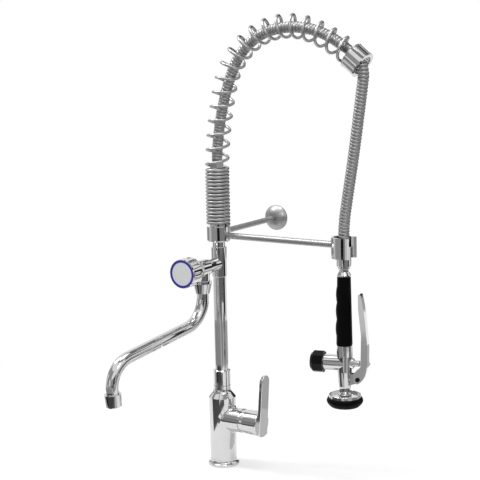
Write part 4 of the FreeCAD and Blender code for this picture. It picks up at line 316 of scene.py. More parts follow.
def pin_recess_shade_steel(face, finishes):
    """Steel made near black as painted shade of the recess round the lever's pivot, with a dull metal sheen."""
    patch = face.pattern("ShaderNodeTexNoise", {"Scale": 1 / (1.5 * MM), "Detail": 3.0})
    face.cover(patch, (srgb("#2A2A2B"), srgb("#1C1C1D")), (patch, 0.3, 0.45), {"Metallic": 1.0})


def machined_brass(face, finishes):
    """Brass as cut: warm yellow, dulled in patches where it was handled."""
    patch = face.pattern("ShaderNodeTexNoise", {"Scale": 1 / (4 * MM), "Detail": 3.0})
    face.metal(patch, finishes.brass, 0.75, (patch, 0.25, 0.42))


def moulded_rubber(face, finishes):
    """Black nitrile rubber from a spark-eroded mould: a dull skin whose fine pebble catches a soft light."""
    pebble = face.pattern("ShaderNodeTexNoise", {"Scale": 1 / (0.7 * MM), "Detail": 3.0, "Roughness": 0.6})
    wear = face.pattern("ShaderNodeTexNoise", {"Scale": 1 / (16 * MM), "Detail": 3.0})
    tones = (finishes.rubber, shade(finishes.rubber, 1.7))
    dull = {"IOR": 1.52, "Specular IOR Level": 0.06}
    face.cover(wear, tones, (wear, 0.36, 0.52), dull, (pebble, 0.06 * MM, 0.7))


def moulded_abs(face, finishes):
    """Black ABS from a polished mould: a hard skin with a satin gloss and faint flow marks."""
    flow = face.pattern("ShaderNodeTexNoise", {"Scale": 1 / (7 * MM)})
    grain = face.pattern("ShaderNodeTexNoise", {"Scale": 1 / (0.4 * MM)})
    tones = (finishes.plastic, shade(finishes.plastic, 1.5))
    gloss = {"IOR": 1.54, "Specular IOR Level": 0.12}
    face.cover(flow, tones, (flow, 0.16, 0.26), gloss, (grain, 0.01 * MM, 0.5))


def seal_rubber(face, finishes):
    """Soft black seal rubber: matt, with a bloom that greys it a little."""
    bloom = face.pattern("ShaderNodeTexNoise", {"Scale": 1 / (3 * MM), "Detail": 3.0})
    face.cover(bloom, (srgb("#1C1C1C"), srgb("#2C2C2B")), 0.7, {"IOR": 1.52})


def white_acetal(face, finishes):
    """White acetal: a waxy, close surface that light enters a little."""
    wax = face.pattern("ShaderNodeTexNoise", {"Scale": 1 / (5 * MM)})
    depth = {"IOR": 1.48, "Subsurface Weight": 0.1, "Subsurface Scale": 1.5 * MM}
    face.cover(wax, (srgb("#E6E5E0"), srgb("#DAD9D3")), 0.4, depth)


def grey_acetal(face, finishes):
    """Grey acetal of a spray face: smooth, with a dull satin skin."""
    wax = face.pattern("ShaderNodeTexNoise", {"Scale": 1 / (5 * MM)})
    face.cover(wax, (srgb("#4A4B4D"), srgb("#3E3F41")), 0.42, {"IOR": 1.48})


def printed_disc(face, finishes):
    """Polycarbonate under a clear coat, bare but for the blue border printed round it and its lilac halo."""
    centred = face.pattern("ShaderNodeMapping", {"Location": (0.0, 0.0, -finishes.disc_height)})
    level = add_node(face.tree, "ShaderNodeSeparateXYZ", {"Vector": centred}).outputs
    flat = add_node(face.tree, "ShaderNodeCombineXYZ", {"X": level["X"], "Z": level["Z"]})
    out = add_node(face.tree, "ShaderNodeVectorMath", {0: flat}, operation="LENGTH").outputs["Value"]
    cloud = face.pattern("ShaderNodeTexNoise", {"Scale": 1 / (12 * MM), "Detail": 1.0})
    layers = [(cloud, shade(finishes.disc, 1.08))]
    soft = 0.15 * MM
    for radius, ink in ((finishes.halo_radius, finishes.halo), (finishes.border_radius, finishes.ring)):
        edge = {"Value": out, "From Min": radius - soft, "From Max": radius + soft}
        layers.append((add_node(face.tree, "ShaderNodeMapRange", edge), ink))
    printed = finishes.disc
    for share, ink in layers:
        mix = {"Factor": share, COLOUR_A: printed, COLOUR_B: ink}
        printed = add_node(face.tree, "ShaderNodeMix", mix, data_type="RGBA").outputs[COLOUR_RESULT]
    coat = {"IOR": 1.58, "Roughness": 0.35, "Coat Weight": 0.6, "Coat Roughness": 0.08}
    feed(face.tree, face.shader, {"Base Color": printed, **coat})


def blue_acrylic(face, finishes):
    """Blue acrylic: a deep clear colour with a slow cloud in it, under a gloss."""
    deep = face.pattern("ShaderNodeTexNoise", {"Scale": 1 / (9 * MM), "Detail": 1.0})
    face.cover(deep, (finishes.ring, shade(finishes.ring, 1.2)), 0.18, {"IOR": 1.49, "Coat Weight": 0.5})


# Pieces whose finish differs from that of their slot: parts of brass or steel whose ends show are plated, and
# the bars and the flange are buffed satin.
OTHER_FINISH = {
    "tap_headwork": "chrome",
    "tap_spindle": "chrome",
    "valve_bush": "chrome",
    "adjuster_nut": "chrome",
    "adjuster_screw": "chrome",
    "collar_screws": "chrome",
    "holder_arm": "satin_bar",
    "wall_rod": "satin_bar",
    "wall_flange": "satin_bar",
    # The squeeze lever has the paler chrome: painted light that brightens it.
    "squeeze_lever": "zinc",
    # The pivot pin is made near black: painted shade of the recess round it.
    "pivot_pin": "painted_shade_steel",
}

# What dresses each slot and each other finish; the material is named after it.
MAKERS = {
    "chrome": polished_chrome,
    "satin_bar": satin_stainless_bar,
    "zinc": paler_lit_chrome_on_zinc,
    "painted_shade_steel": pin_recess_shade_steel,
    "spring_steel": drawn_spring_wire,
    "hose_steel": corrugated_stainless,
    "steel": turned_stainless,
    "brass": machined_brass,
    "black_rubber": moulded_rubber,
    "black_plastic": moulded_abs,
    "seal_rubber": seal_rubber,
    "white_plastic": white_acetal,
    "cartridge_plastic": white_acetal,
    "grey_plastic": grey_acetal,
    "index_plate": printed_disc,
    "blue_ring": blue_acrylic,
}
FINISHES = {}


def finish_of(slot):
    """The material of a slot or other finish, made the first time it is asked for."""
    if slot not in FINISHES:
        dress = MAKERS[slot]
        face = Surface(dress.__name__)
        dress(face, bpy.context.scene.faucet_finishes)
        FINISHES[slot] = face.material
    return FINISHES[slot]


def own(piece, body, slot, *nodes):
    """A piece rides on its body and stands for its CAD nodes, which it hides; the slot is not used."""
    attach(piece, body)
    if nodes:
        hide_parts(*nodes)


def new_object(name, data):
    """A new object in the scene."""
    made = bpy.data.objects.new(name, data)
    bpy.context.scene.collection.objects.link(made)
    return made


def piece_from(name, mesh, material):
    """A new object for a mesh, in one material."""
    mesh.materials.clear()
    mesh.materials.append(material)
    return new_object(name, mesh)


def skin(name, rings, material):
    """A smooth skin through rings of points, closed on itself like a tyre."""
    shape = bmesh.new()
    loops = [[shape.verts.new(point) for point in ring] for ring in rings]
    for below, above in zip(loops, loops[1:] + loops[:1]):
        for index in range(len(below)):
            after = (index + 1) % len(below)
            shape.faces.new((below[index], below[after], above[after], above[index]))
    bmesh.ops.recalc_face_normals(shape, faces=shape.faces)
    mesh = bpy.data.meshes.new(name)
    shape.to_mesh(mesh)
    shape.free()
    mesh.shade_smooth()
    return piece_from(name, mesh, material)


def turned_rings(profile, centre, sides):
    """Rings of points round a vertical axis, one for each radius and height of a profile."""
    ways = [FULL_TURN * step / sides for step in range(sides)]
    return [
        [(centre.x + radius * math.cos(way), centre.y + radius * math.sin(way), height) for way in ways]
        for radius, height in profile
    ]


def fillet(centre, radius, start, end, steps=5):
    """Points of a round corner of a profile, between two angles in degrees."""
    angles = [math.radians(start + (end - start) * step / steps) for step in range(steps + 1)]
    return [(centre[0] + radius * math.cos(a), centre[1] + radius * math.sin(a)) for a in angles]


def line_through(name, points, kind="POLY"):
    """A curve object with one spline through, or led by, its points."""
    curve = bpy.data.curves.new(name, "CURVE")
    curve.dimensions = "3D"
    spline = curve.splines.new(kind)
    spline.points.add(len(points) - 1)
    for target, point in zip(spline.points, points):
        target.co = (*point, 1.0)
    return new_object(name, curve)


# The longest step along a centreline, and the most that it turns in one step.
LONGEST_STEP = 4 * MM
LARGEST_TURN = math.radians(1.5)


def centreline(name, start, runs, drift=None):
    """A line in the plane of the arch that starts straight up and bends towards +X, by runs and turns.

    A drift moves each point to the inner side of the bend, by a function of its share of the way.
    """
    points = [start.copy()]
    inward = [Vector((1, 0, 0))]
    heading = 0.0
    for run, turn in runs:
        steps = max(1, math.ceil(abs(turn) / LARGEST_TURN), math.ceil(run / LONGEST_STEP))
        for _ in range(steps):
            heading += turn / steps / 2
            points.append(points[-1] + Vector((math.sin(heading), 0, math.cos(heading))) * run / steps)
            heading += turn / steps / 2
            inward.append(Vector((math.cos(heading), 0, -math.sin(heading))))
    if drift:
        last = len(points) - 1
        points = [point + way * drift(place / last) for place, (point, way) in enumerate(zip(points, inward))]
    return line_through(name, points)


def tree_with(name, numbers, counts):
    """A geometry node tree that takes a geometry, numbers, counts and a material, and gives a geometry."""
    tree = bpy.data.node_groups.new(name, "GeometryNodeTree")
    kinds = {"Geometry": "Geometry", **dict.fromkeys(numbers, "Float"), **dict.fromkeys(counts, "Int")}
    for label, kind in (*kinds.items(), ("Material", "Material")):
        tree.interface.new_socket(label, in_out="INPUT", socket_type=f"NodeSocket{kind}")
    tree.interface.new_socket("Geometry", in_out="OUTPUT", socket_type="NodeSocketGeometry")
    return tree, tree.nodes.new("NodeGroupInput").outputs


def end_tree(tree, geometry, material):
    """Smooth, real geometry in its material, as the tree's output."""
    smooth = add_node(tree, "GeometryNodeSetShadeSmooth", {"Geometry": geometry})
    real = add_node(tree, "GeometryNodeRealizeInstances", {"Geometry": smooth})
    dressed = add_node(tree, "GeometryNodeSetMaterial", {"Geometry": real, "Material": material})
    add_node(tree, "NodeGroupOutput", {"Geometry": dressed})


def swept_tube(tree, line, sides, radius, name, kind):
    """A tube round a line, whose points keep their length or share of the way round it under a name."""
    ring = add_node(tree, "GeometryNodeCurvePrimitiveCircle", {"Resolution": sides, "Radius": radius})
    way = add_node(tree, "GeometryNodeSplineParameter").outputs[kind]
    marked = add_node(tree, "GeometryNodeStoreNamedAttribute", {"Geometry": ring, "Name": name, "Value": way})
    ends = {"Curve": line, "Profile Curve": marked, "Fill Caps": True}
    return add_node(tree, "GeometryNodeCurveToMesh", ends)


def winding_tree():
    """A round wire wound round a centreline, closed at first and then open."""
    tree, given = tree_with(
        "wire_winding",
        ("Coil Radius", "Wire Radius", "Closed Pitch", "Closed Turns", "Open Turns"),
        ("Points per Turn", "Wire Sides"),
    )
    centre = given["Geometry"]
    radius = given["Coil Radius"]
    pitch = given["Closed Pitch"]
    closed = given["Closed Turns"]
    fewest_turns = 0.001
    node = partial(add_node, tree)
    total = node("GeometryNodeCurveLength", {"Curve": centre})
    turns = node("ShaderNodeMath", {0: closed, 1: given["Open Turns"]}, operation="ADD")
    closed_run = node("ShaderNodeMath", {0: closed, 1: pitch}, operation="MULTIPLY")
    open_run = node("ShaderNodeMath", {0: total, 1: closed_run}, operation="SUBTRACT")
    open_turns = node("ShaderNodeMath", {0: given["Open Turns"], 1: fewest_turns}, operation="MAXIMUM")
    open_pitch = node("ShaderNodeMath", {0: open_run, 1: open_turns}, operation="DIVIDE")

    # A straight wire with enough points takes its place round the centreline point by point.
    count = node("ShaderNodeMath", {0: turns, 1: given["Points per Turn"]}, operation="MULTIPLY")
    line = node("GeometryNodeCurvePrimitiveLine")
    wire = node("GeometryNodeResampleCurve", {"Curve": line, "Count": count})
    share = node("GeometryNodeSplineParameter").outputs["Factor"]
    turn = node("ShaderNodeMath", {0: share, 1: turns}, operation="MULTIPLY")
    low_turns = node("ShaderNodeMath", {0: turn, 1: closed}, operation="MINIMUM")
    low_run = node("ShaderNodeMath", {0: low_turns, 1: pitch}, operation="MULTIPLY")
    past = node("ShaderNodeMath", {0: turn, 1: closed}, operation="SUBTRACT")
    high_turns = node("ShaderNodeMath", {0: past, 1: 0.0}, operation="MAXIMUM")
    high_run = node("ShaderNodeMath", {0: high_turns, 1: open_pitch}, operation="MULTIPLY")
    run = node("ShaderNodeMath", {0: low_run, 1: high_run}, operation="ADD")
    spot = node("GeometryNodeSampleCurve", {"Curves": centre, "Length": run}, mode="LENGTH").outputs
    side = node("ShaderNodeVectorMath", {0: (0.0, 1.0, 0.0), 1: spot["Tangent"]}, operation="CROSS_PRODUCT")
    turned = node("ShaderNodeMath", {0: turn, 1: FULL_TURN}, operation="MULTIPLY")
    cosine = node("ShaderNodeMath", {0: turned}, operation="COSINE")
    sine = node("ShaderNodeMath", {0: turned}, operation="SINE")
    out = node("ShaderNodeMath", {0: cosine, 1: radius}, operation="MULTIPLY")
    aside = node("ShaderNodeMath", {0: sine, 1: radius}, operation="MULTIPLY")
    across = node("ShaderNodeVectorMath", {0: side, "Scale": out}, operation="SCALE")
    beside = node("ShaderNodeCombineXYZ", {"Y": aside})
    offset = node("ShaderNodeVectorMath", {0: across, 1: beside}, operation="ADD")
    place = {"Geometry": wire, "Position": spot["Position"], "Offset": offset}
    placed = node("GeometryNodeSetPosition", place)

    # The lengths along the wire and round it, for the streaks of its finish.
    wire_run = node("ShaderNodeMath", {0: turned, 1: radius}, operation="MULTIPLY")
    along = {"Geometry": placed, "Name": "wire_run", "Value": wire_run}
    marked = node("GeometryNodeStoreNamedAttribute", along)
    tube = swept_tube(tree, marked, given["Wire Sides"], given["Wire Radius"], "wire_round", "Length")
    pair = node("ShaderNodeCombineXYZ", {
        "X": node("GeometryNodeInputNamedAttribute", {"Name": "wire_run"}),
        "Y": node("GeometryNodeInputNamedAttribute", {"Name": "wire_round"}),
    })
    both = {"Geometry": tube, "Name": "winding", "Value": pair}
    wound = node("GeometryNodeStoreNamedAttribute", both, data_type="FLOAT_VECTOR")
    end_tree(tree, wound, given["Material"])
    return tree


# Below 1 this power broadens the crests of a hose's ribs and narrows the grooves between them.
RIB_POWER = 0.38


def rib_tree():
    """A hose along a curve, with ribs that wind round it like those of a rolled strip, and smooth ends."""
    tree, given = tree_with(
        "ribbed_hose",
        ("Root Radius", "Crest Radius", "Rib Pitch", "Plain End"),
        ("Points per Rib", "Sides"),
    )
    pitch = given["Rib Pitch"]
    node = partial(add_node, tree)
    total = node("GeometryNodeCurveLength", {"Curve": given["Geometry"]})
    ribs = node("ShaderNodeMath", {0: total, 1: pitch}, operation="DIVIDE")
    count = node("ShaderNodeMath", {0: ribs, 1: given["Points per Rib"]}, operation="MULTIPLY")
    line = node("GeometryNodeResampleCurve", {"Curve": given["Geometry"], "Count": count})
    way = node("GeometryNodeSplineParameter").outputs["Length"]
    marked = node("GeometryNodeStoreNamedAttribute", {"Geometry": line, "Name": "hose_run", "Value": way})
    tube = swept_tube(tree, marked, given["Sides"], given["Root Radius"], "hose_turn", "Factor")

    # How high the rib stands at a point: a wave along the hose, which winds round it once for each rib.
    run = node("GeometryNodeInputNamedAttribute", {"Name": "hose_run"})
    turn = node("GeometryNodeInputNamedAttribute", {"Name": "hose_turn"})
    passed = node("ShaderNodeMath", {0: run, 1: pitch}, operation="DIVIDE")
    wound = node("ShaderNodeMath", {0: passed, 1: turn}, operation="ADD")
    phase = node("ShaderNodeMath", {0: wound, 1: FULL_TURN}, operation="MULTIPLY")
    wave = node("ShaderNodeMath", {0: phase}, operation="COSINE")
    fall = node("ShaderNodeMath", {0: 1.0, 1: wave}, operation="SUBTRACT")
    share = node("ShaderNodeMath", {0: fall, 1: 0.5}, operation="MULTIPLY")
    rounded = node("ShaderNodeMath", {0: share, 1: RIB_POWER}, operation="POWER")

    # The ribs fade out over one pitch beside each smooth end.
    left = node("ShaderNodeMath", {0: total, 1: run}, operation="SUBTRACT")
    nearest = node("ShaderNodeMath", {0: run, 1: left}, operation="MINIMUM")
    inside = node("ShaderNodeMath", {0: nearest, 1: given["Plain End"]}, operation="SUBTRACT")
    grown = node("ShaderNodeMath", {0: inside, 1: pitch}, operation="DIVIDE")
    fade = node("ShaderNodeClamp", {"Value": grown})
    height = node("ShaderNodeMath", {0: rounded, 1: fade}, operation="MULTIPLY")
    depth = node("ShaderNodeMath", {0: given["Crest Radius"], 1: given["Root Radius"]}, operation="SUBTRACT")
    lift = node("ShaderNodeMath", {0: height, 1: depth}, operation="MULTIPLY")
    out = node("GeometryNodeInputNormal").outputs["Normal"]
    push = node("ShaderNodeVectorMath", {0: out, "Scale": lift}, operation="SCALE")
    kept = node("GeometryNodeStoreNamedAttribute", {"Geometry": tube, "Name": "rib", "Value": height})
    ribbed = node("GeometryNodeSetPosition", {"Geometry": kept, "Offset": push})
    end_tree(tree, ribbed, given["Material"])
    return tree


def grow(name, line, tree, values, material):
    """Runs a geometry node tree on a line and keeps the result as a plain mesh."""
    modifier = line.modifiers.new(name, "NODES")
    modifier.node_group = tree
    given = {**values, "Material": material}
    for item in tree.interface.items_tree:
        if item.in_out == "INPUT" and item.name in given:
            modifier[item.identifier] = given[item.name]
    depsgraph = bpy.context.evaluated_depsgraph_get()
    mesh = bpy.data.meshes.new_from_object(line.evaluated_get(depsgraph), depsgraph=depsgraph)
    bpy.data.objects.remove(line)
    if not mesh.polygons:
        raise RuntimeError(f"{name} came out empty")
    mesh.name = name
    return piece_from(name, mesh, material)


def ribbed_hose(name, line, sizes):
    """A ribbed hose along a line."""
    return grow(name, line, rib_tree(), {
        "Root Radius": sizes.root_radius,
        "Crest Radius": sizes.crest_radius,
        "Rib Pitch": sizes.rib_pitch,
        "Plain End": sizes.smooth_end,
        "Points per Rib": 12,
        "Sides": 36,
    }, finish_of("hose_steel"))


def direction(stage, bearing, elevation=0.0):
    """The way towards a bearing from the camera's side and an elevation, both in degrees."""
    way = stage.azimuth + math.radians(bearing)
    lift = math.radians(elevation)
    return Vector((math.sin(way) * math.cos(lift), -math.cos(way) * math.cos(lift), math.sin(lift)))


class FAUCET_OT_camera(Operator):
    """Places the camera where the photograph was taken from"""

    bl_idname = "faucet.camera"
    bl_label = "Camera"

    def execute(self, context):
        stage = context.scene.faucet_stage
        data = bpy.data.cameras.new("camera")
        data.lens = stage.lens
        data.sensor_width = SENSOR_WIDTH
        camera = new_object("camera", data)
        turn = Matrix.Rotation(stage.azimuth - stage.swing, 4, "Z")
        tilt = Matrix.Rotation(math.pi / 2 - stage.pitch, 4, "X")
        lean = Matrix.Rotation(-stage.roll, 4, "Z")
        out = direction(stage, 0) * stage.distance
        place = Matrix.Translation(out + Vector((0, 0, stage.height)))
        camera.matrix_world = place @ turn @ tilt @ lean
        context.scene.camera = camera
        return {"FINISHED"}


class FAUCET_OT_drop_hose(Operator):
    """Makes the free corrugated hose from the spring cap to the sprayer"""

    bl_idname = "faucet.drop_hose"
    bl_label = "Free hose"

    def execute(self, context):
        sizes = context.scene.faucet_hose
        line = line_through("drop_route", [(x, 0.0, z) for x, z in DROP_ROUTE], "NURBS")
        line.data.resolution_u = ROUTE_STEPS
        spline = line.data.splines[0]
        spline.order_u = ROUTE_ORDER
        spline.use_endpoint_u = True
        depsgraph = context.evaluated_depsgraph_get()
        path = [v.co.copy() for v in bpy.data.meshes.new_from_object(line, depsgraph=depsgraph).vertices]
        hose = ribbed_hose("drop_hose_ribbed", line, sizes)
        own(hose, "base", "hose_steel", "drop_hose")
        return {"FINISHED"}


class FAUCET_OT_arch_hose(Operator):
    """Makes the corrugated hose inside the spring"""

    bl_idname = "faucet.arch_hose"
    bl_label = "Hose in the arch"

    slack: length("Slack", "Scale of the hose's lean inside the spring; the most is 0.94 of it", 5.6)

    def drift(self, share):
        """How far the stiff hose cuts the corner inside the spring: most on the way up, none at its ends."""
        lead_in = 0.03
        lean = share * share / (share + lead_in) * (1 - share) ** 3
        peak = 0.1
        return self.slack * lean / peak

    def execute(self, context):
        sizes = context.scene.faucet_hose
        straight = (sizes.plain_end, 0.0)
        bends = [(radius * turn, turn) for radius, turn in (
            (sizes.lead_bend, sizes.lead_turn),
            (sizes.crown_bend, sizes.crown_turn),
            (sizes.fall_bend, sizes.fall_turn),
        )]
        line = centreline("arch_route", Vector((0, 0, sizes.start)), [straight, *bends, straight], self.drift)
        hose = ribbed_hose("arch_hose_ribbed", line, sizes)
        own(hose, "base", "hose_steel", "arch_hose")
        return {"FINISHED"}


class FAUCET_OT_arch_spring(Operator):
    """Winds the spring that holds the arch up"""

    bl_idname = "faucet.arch_spring"
    bl_label = "Arch spring"

    def execute(self, context):
        sizes = context.scene.faucet_spring
        line = centreline("spring_route", Vector((0, 0, sizes.seat)), [
            (sizes.rise - sizes.seat, 0.0),
            (sizes.lean_run, sizes.lean_turn),
            (sizes.crown_run, sizes.crown_turn),
            (sizes.fall_run, sizes.fall_turn),
            (sizes.cap_run, 0.0),
        ])
        spring = grow("arch_spring_wire", line, winding_tree(), {
            "Coil Radius": sizes.coil_radius,
            "Wire Radius": sizes.wire_radius,
            "Closed Pitch": sizes.closed_pitch,
            "Closed Turns": sizes.closed_turns,
            "Open Turns": sizes.open_turns,
            "Points per Turn": 44,
            "Wire Sides": 16,
        }, finish_of("spring_steel"))
        own(spring, "base", "spring_steel", "arch_spring")
        return {"FINISHED"}


# Heights of the grip's finger swells in millimetres, as in the photograph, from the top one down.
SWELL_HEIGHTS = (324.6, 297.5, 268.4)
GRIP_SIDES = 72
GRIP_STEPS = 120


class FAUCET_OT_grip(Operator):
    """Moulds the rubber grip with its three finger swells"""

    bl_idname = "faucet.grip"
    bl_label = "Grip"

    swells: IntProperty(name="Swells", description="Finger swells away from the lever", default=3, max=3)

    def reach(self, sizes, height, out):
        """The grip's radius at a height and a direction, where out is 1 straight away from the lever."""
        share = (height - sizes.grip_low) / (sizes.grip_top - sizes.grip_low)
        radius = sizes.grip_low_radius + (sizes.grip_top_radius - sizes.grip_low_radius) * share
        for place in SWELL_HEIGHTS[:self.swells]:
            rise = (height - place * MM) / sizes.swell_half_height
            if abs(rise) < 1 and out > 0:
                radius += sizes.swell_height * (1 - rise * rise) * out * out
        return radius

    def execute(self, context):
        sizes = context.scene.faucet_sprayer
        rise = sizes.grip_top - sizes.grip_low
        centre = Vector((sizes.reach, 0, 0))
        heights = [sizes.grip_low + rise * step / GRIP_STEPS for step in range(GRIP_STEPS + 1)]
        rings = []
        for height in heights:
            edge = max(0.0, sizes.grip_round - min(height - sizes.grip_low, sizes.grip_top - height))
            inset = sizes.grip_round - math.sqrt(max(0.0, sizes.grip_round ** 2 - edge ** 2))
            ring = []
            for step in range(GRIP_SIDES):
                way = FULL_TURN * step / GRIP_SIDES
                radius = self.reach(sizes, height, -math.cos(way - sizes.bearing)) - inset
                ring.append(centre + Vector((radius * math.cos(way), radius * math.sin(way), height)))
            rings.append(ring)
        bore = [(sizes.grip_bore, heights[-1]), (sizes.grip_bore, heights[0])]
        rings += turned_rings(bore, centre, GRIP_SIDES)
        grip = skin("grip_rubber", rings, finish_of("black_rubber"))
        own(grip, "sprayer", "black_rubber", "grip")
        return {"FINISHED"}


# The bumper's section as radii and heights in millimetres: the seat of the spray plate, the
# lip round its rim, the bulging outside, the underside, and the hole for the spray face.
BUMPER_PROFILE = (
    *((16.0, 150.8), (26.4, 150.8), (26.4, 152.6)),
    *fillet((27.1, 152.6), 0.7, 180, 40),
    *((28.6, 151.6), (29.5, 149.9), (29.98, 147.8), (29.7, 146.2), (28.9, 144.6), (27.9, 143.0)),
    *((26.7, 141.5), (25.3, 140.1), (24.0, 138.8), (22.6, 137.95), (21.6, 137.7)),
    *((18.4, 137.7), (17.4, 138.2), (16.4, 139.3), (16.0, 140.2)),
)
BUMPER_SIDES = 96


class FAUCET_OT_bumper(Operator):
    """Moulds the rubber bumper round the spray face"""

    bl_idname = "faucet.bumper"
    bl_label = "Bumper"

    def execute(self, context):
        sizes = context.scene.faucet_sprayer
        profile = [(radius * MM, height * MM) for radius, height in BUMPER_PROFILE]
        rings = turned_rings(profile, Vector((sizes.reach, 0, 0)), BUMPER_SIDES)
        bumper = skin("bumper_rubber", rings, finish_of("black_rubber"))
        own(bumper, "sprayer", "black_rubber", "bumper_ring")
        return {"FINISHED"}


# How far the middle of the thread's ridge lies under the screw's surface, as a share of the ridge's radius.
SUNK_SHARE = 0.7


class FAUCET_OT_adjuster_thread(Operator):
    """Winds the thread on the lever's adjuster screw"""

    bl_idname = "faucet.adjuster_thread"
    bl_label = "Adjuster thread"

    def execute(self, context):
        sizes = context.scene.faucet_sprayer
        run = sizes.thread_end - sizes.thread_start
        line = centreline("thread_route", Vector((0, 0, 0)), [(run, 0.0)])
        thread = grow("adjuster_thread", line, winding_tree(), {
            "Coil Radius": sizes.thread_radius - sizes.ridge_radius * SUNK_SHARE,
            "Wire Radius": sizes.ridge_radius,
            "Closed Pitch": sizes.thread_pitch,
            "Closed Turns": run / sizes.thread_pitch,
            "Open Turns": 0.0,
            "Points per Turn": 24,
            "Wire Sides": 6,
        }, finish_of("steel"))
        lay = Matrix.Rotation(math.pi / 2, 4, "Y")
        turn = Matrix.Rotation(sizes.bearing, 4, "Z")
        shift = Matrix.Translation((sizes.thread_start, 0, sizes.thread_height))
        thread.data.transform(Matrix.Translation((sizes.reach, 0, 0)) @ turn @ shift @ lay)
        own(thread, "trigger", "steel")
        return {"FINISHED"}


class FAUCET_OT_finishes(Operator):
    """Gives every CAD piece the finish of its slot"""

    bl_idname = "faucet.finishes"
    bl_label = "Finishes"

    def execute(self, context):
        for row in frame["record"]["subparts"]:
            slot = OTHER_FINISH.get(row["node"], row["material_slot"])
            mesh = frame["nodes"][row["node"]]
            if not mesh.material_slots:
                raise RuntimeError(f"{row['node']} has no material slot")
            for place in mesh.material_slots:
                place.material = finish_of(slot)
        return {"FINISHED"}


# The spot on the floor that the stage is set round: between the column and the sprayer.
STAGE_MIDDLE = Vector((0.1, -0.03, 0.0))

# The cards on the floor and round the faucet, which only mirrors see. They give chrome its dark bands; the
# white room and floor show between them. Each has its bearings from the camera's side in degrees, its tone,
# and a lower and an upper edge, which are a distance from the stage's middle and a height in millimetres.
CARDS = (
    ("floor_near_side", 84, 150, "#D4D4D4", (20, 4), (300, 4)),
    ("floor_near_front", -104, -44, "#545454", (270, 4), (430, 4)),
    ("floor_near_middle", -44, 4, "#545454", (270, 4), (345, 4)),
    ("floor_near_pale", -44, 14, "#CCCCCC", (345, 4), (430, 4)),
    ("floor_left", -104, -52, "#4C4C4C", (430, 4), (530, 4)),
    ("floor_middle", -52, 4, "#6A6A6A", (430, 4), (540, 4)),
    ("floor_far_left", -112, -30, "#AEAEAE", (530, 4), (1100, 4)),
    ("floor_lever", -30, 2, "#C8C8C8", (540, 4), (1100, 4)),
    ("floor_lever_far", -29, -19, "#D0D0D0", (1100, 4), (1850, 4)),
    ("floor_sprayer_line", 2, 28, "#8A8A8A", (560, 4), (1240, 4)),
    ("floor_sprayer_dark", 50, 80, "#666666", (560, 4), (1100, 4)),
    ("floor_paddle", 100, 130, "#BEBEBE", (300, 4), (860, 4)),
    ("floor_riser_right", 2, 62, "#707070", (1240, 4), (2020, 4)),
    ("high_left", -120, -30, "#A2A2A2", (3000, 900), (3000, 2100)),
    ("high_edge", -34, -28, "#3A3A3A", (3000, 1500), (3000, 2500)),
    ("high_right", 10, 112, "#A4A4A4", (1900, 2300), (900, 2700)),
    ("high_right_dark", 55, 80, "#1C1C1C", (3000, 1800), (2100, 2300)),
    ("high_back", 112, 156, "#5A5A5A", (1900, 2100), (900, 2700)),
    ("high_back_right", 122, 170, "#3C3C3C", (3000, 900), (3000, 2100)),
    ("crown_left", -130, -20, "#A8A8A8", (3000, 2100), (2600, 2250)),
    ("ceiling_back", -180, -112, "#909090", (700, 2100), (1020, 2060)),
    ("ceiling_front", -52, 180, "#909090", (700, 2100), (1020, 2060)),
)

# Cards of the stage that share their edges, by the front of their names.
CARD_ROWS = (
    ("floor_", (1100, 4), (2020, 4), (
        ("riser_edge", -124, -78, "#DCDCDC"),
        ("riser_left", -78, -34, "#A4A4A4"),
        ("riser_middle", -34, -29, "#6C6C6C"),
        ("riser_front", -19, 2, "#6C6C6C"),
        ("dark_side", 64, 100, "#262626"),
    )),
    ("floor_last_", (2020, 4), (3000, 4), (
        ("edge", -150, -106, "#9C9C9C"),
        ("pale", -106, -78, "#DADADA"),
        ("left", -78, -17, "#A0A0A0"),
        ("black", -17, 8, "#101010"),
        ("grey", 8, 62, "#8C8C8C"),
        ("line", 62, 80, "#1E1E1E"),
        ("side", 104, 150, "#A4A4A4"),
    )),
    ("wall_", (3000, 4), (3000, 900), (
        ("left_black", -100, -88, "#2A2A2A"),
        ("left_grey", -88, -62, "#8A8A8A"),
        ("left_pale", -62, -36, "#F4F4F4"),
        ("middle", -36, 3, "#A8A8A8"),
        ("black", 5, 33, "#262626"),
        ("right_grey", 38, 80, "#A8A8A8"),
        ("right_dark", 82, 166, "#2E2E2E"),
        ("left_back", -156, -118, "#A8A8A8"),
    )),
)

# Floor cards measured from the column's own axis, a little above the others. The column's coupling mirrors
# the first row and the foot of its riser the second, and the sprayer mirrors some of them too.
COLUMN_ROWS = (
    ("floor_coupling_", (518, 6), (662, 6), (
        ("black", -80, -60, "#121212"),
        ("dark", -60, -10, "#4A4A4A"),
    )),
    ("floor_foot_", (662, 6), (1100, 6), (
        ("left", -124, -36, "#989898"),
        ("middle", -36, -8, "#9E9E9E"),
        ("line", 28, 48, "#C0C0C0"),
        ("edge", 48, 78, "#8A8A8A"),
        ("right", 78, 150, "#B4B4B4"),
    )),
)
CARD_STEP = 5

# The lamps: bearing and elevation in degrees, distance, width and height in metres, and power in watts.
SOFTBOXES = (
    ("softbox_left", -104, 54, 1.6, 0.2, 0.9, 12),
    ("softbox_right", 16, 36, 1.5, 0.25, 0.5, 2),
    ("softbox_top", 0, 84, 1.6, 0.7, 0.7, 8),
)

# What the lamps look at, over the stage's middle, and half the width of the floor, in metres.
LAMP_AIM = Vector((0, 0, 0.4))
FLOOR_REACH = 6.0


def stage_sheet(name, points, faces, material):
    """A flat or bent sheet of the stage."""
    mesh = bpy.data.meshes.new(name)
    mesh.from_pydata(points, [], faces)
    sheet = piece_from(name, mesh, material)
    return sheet


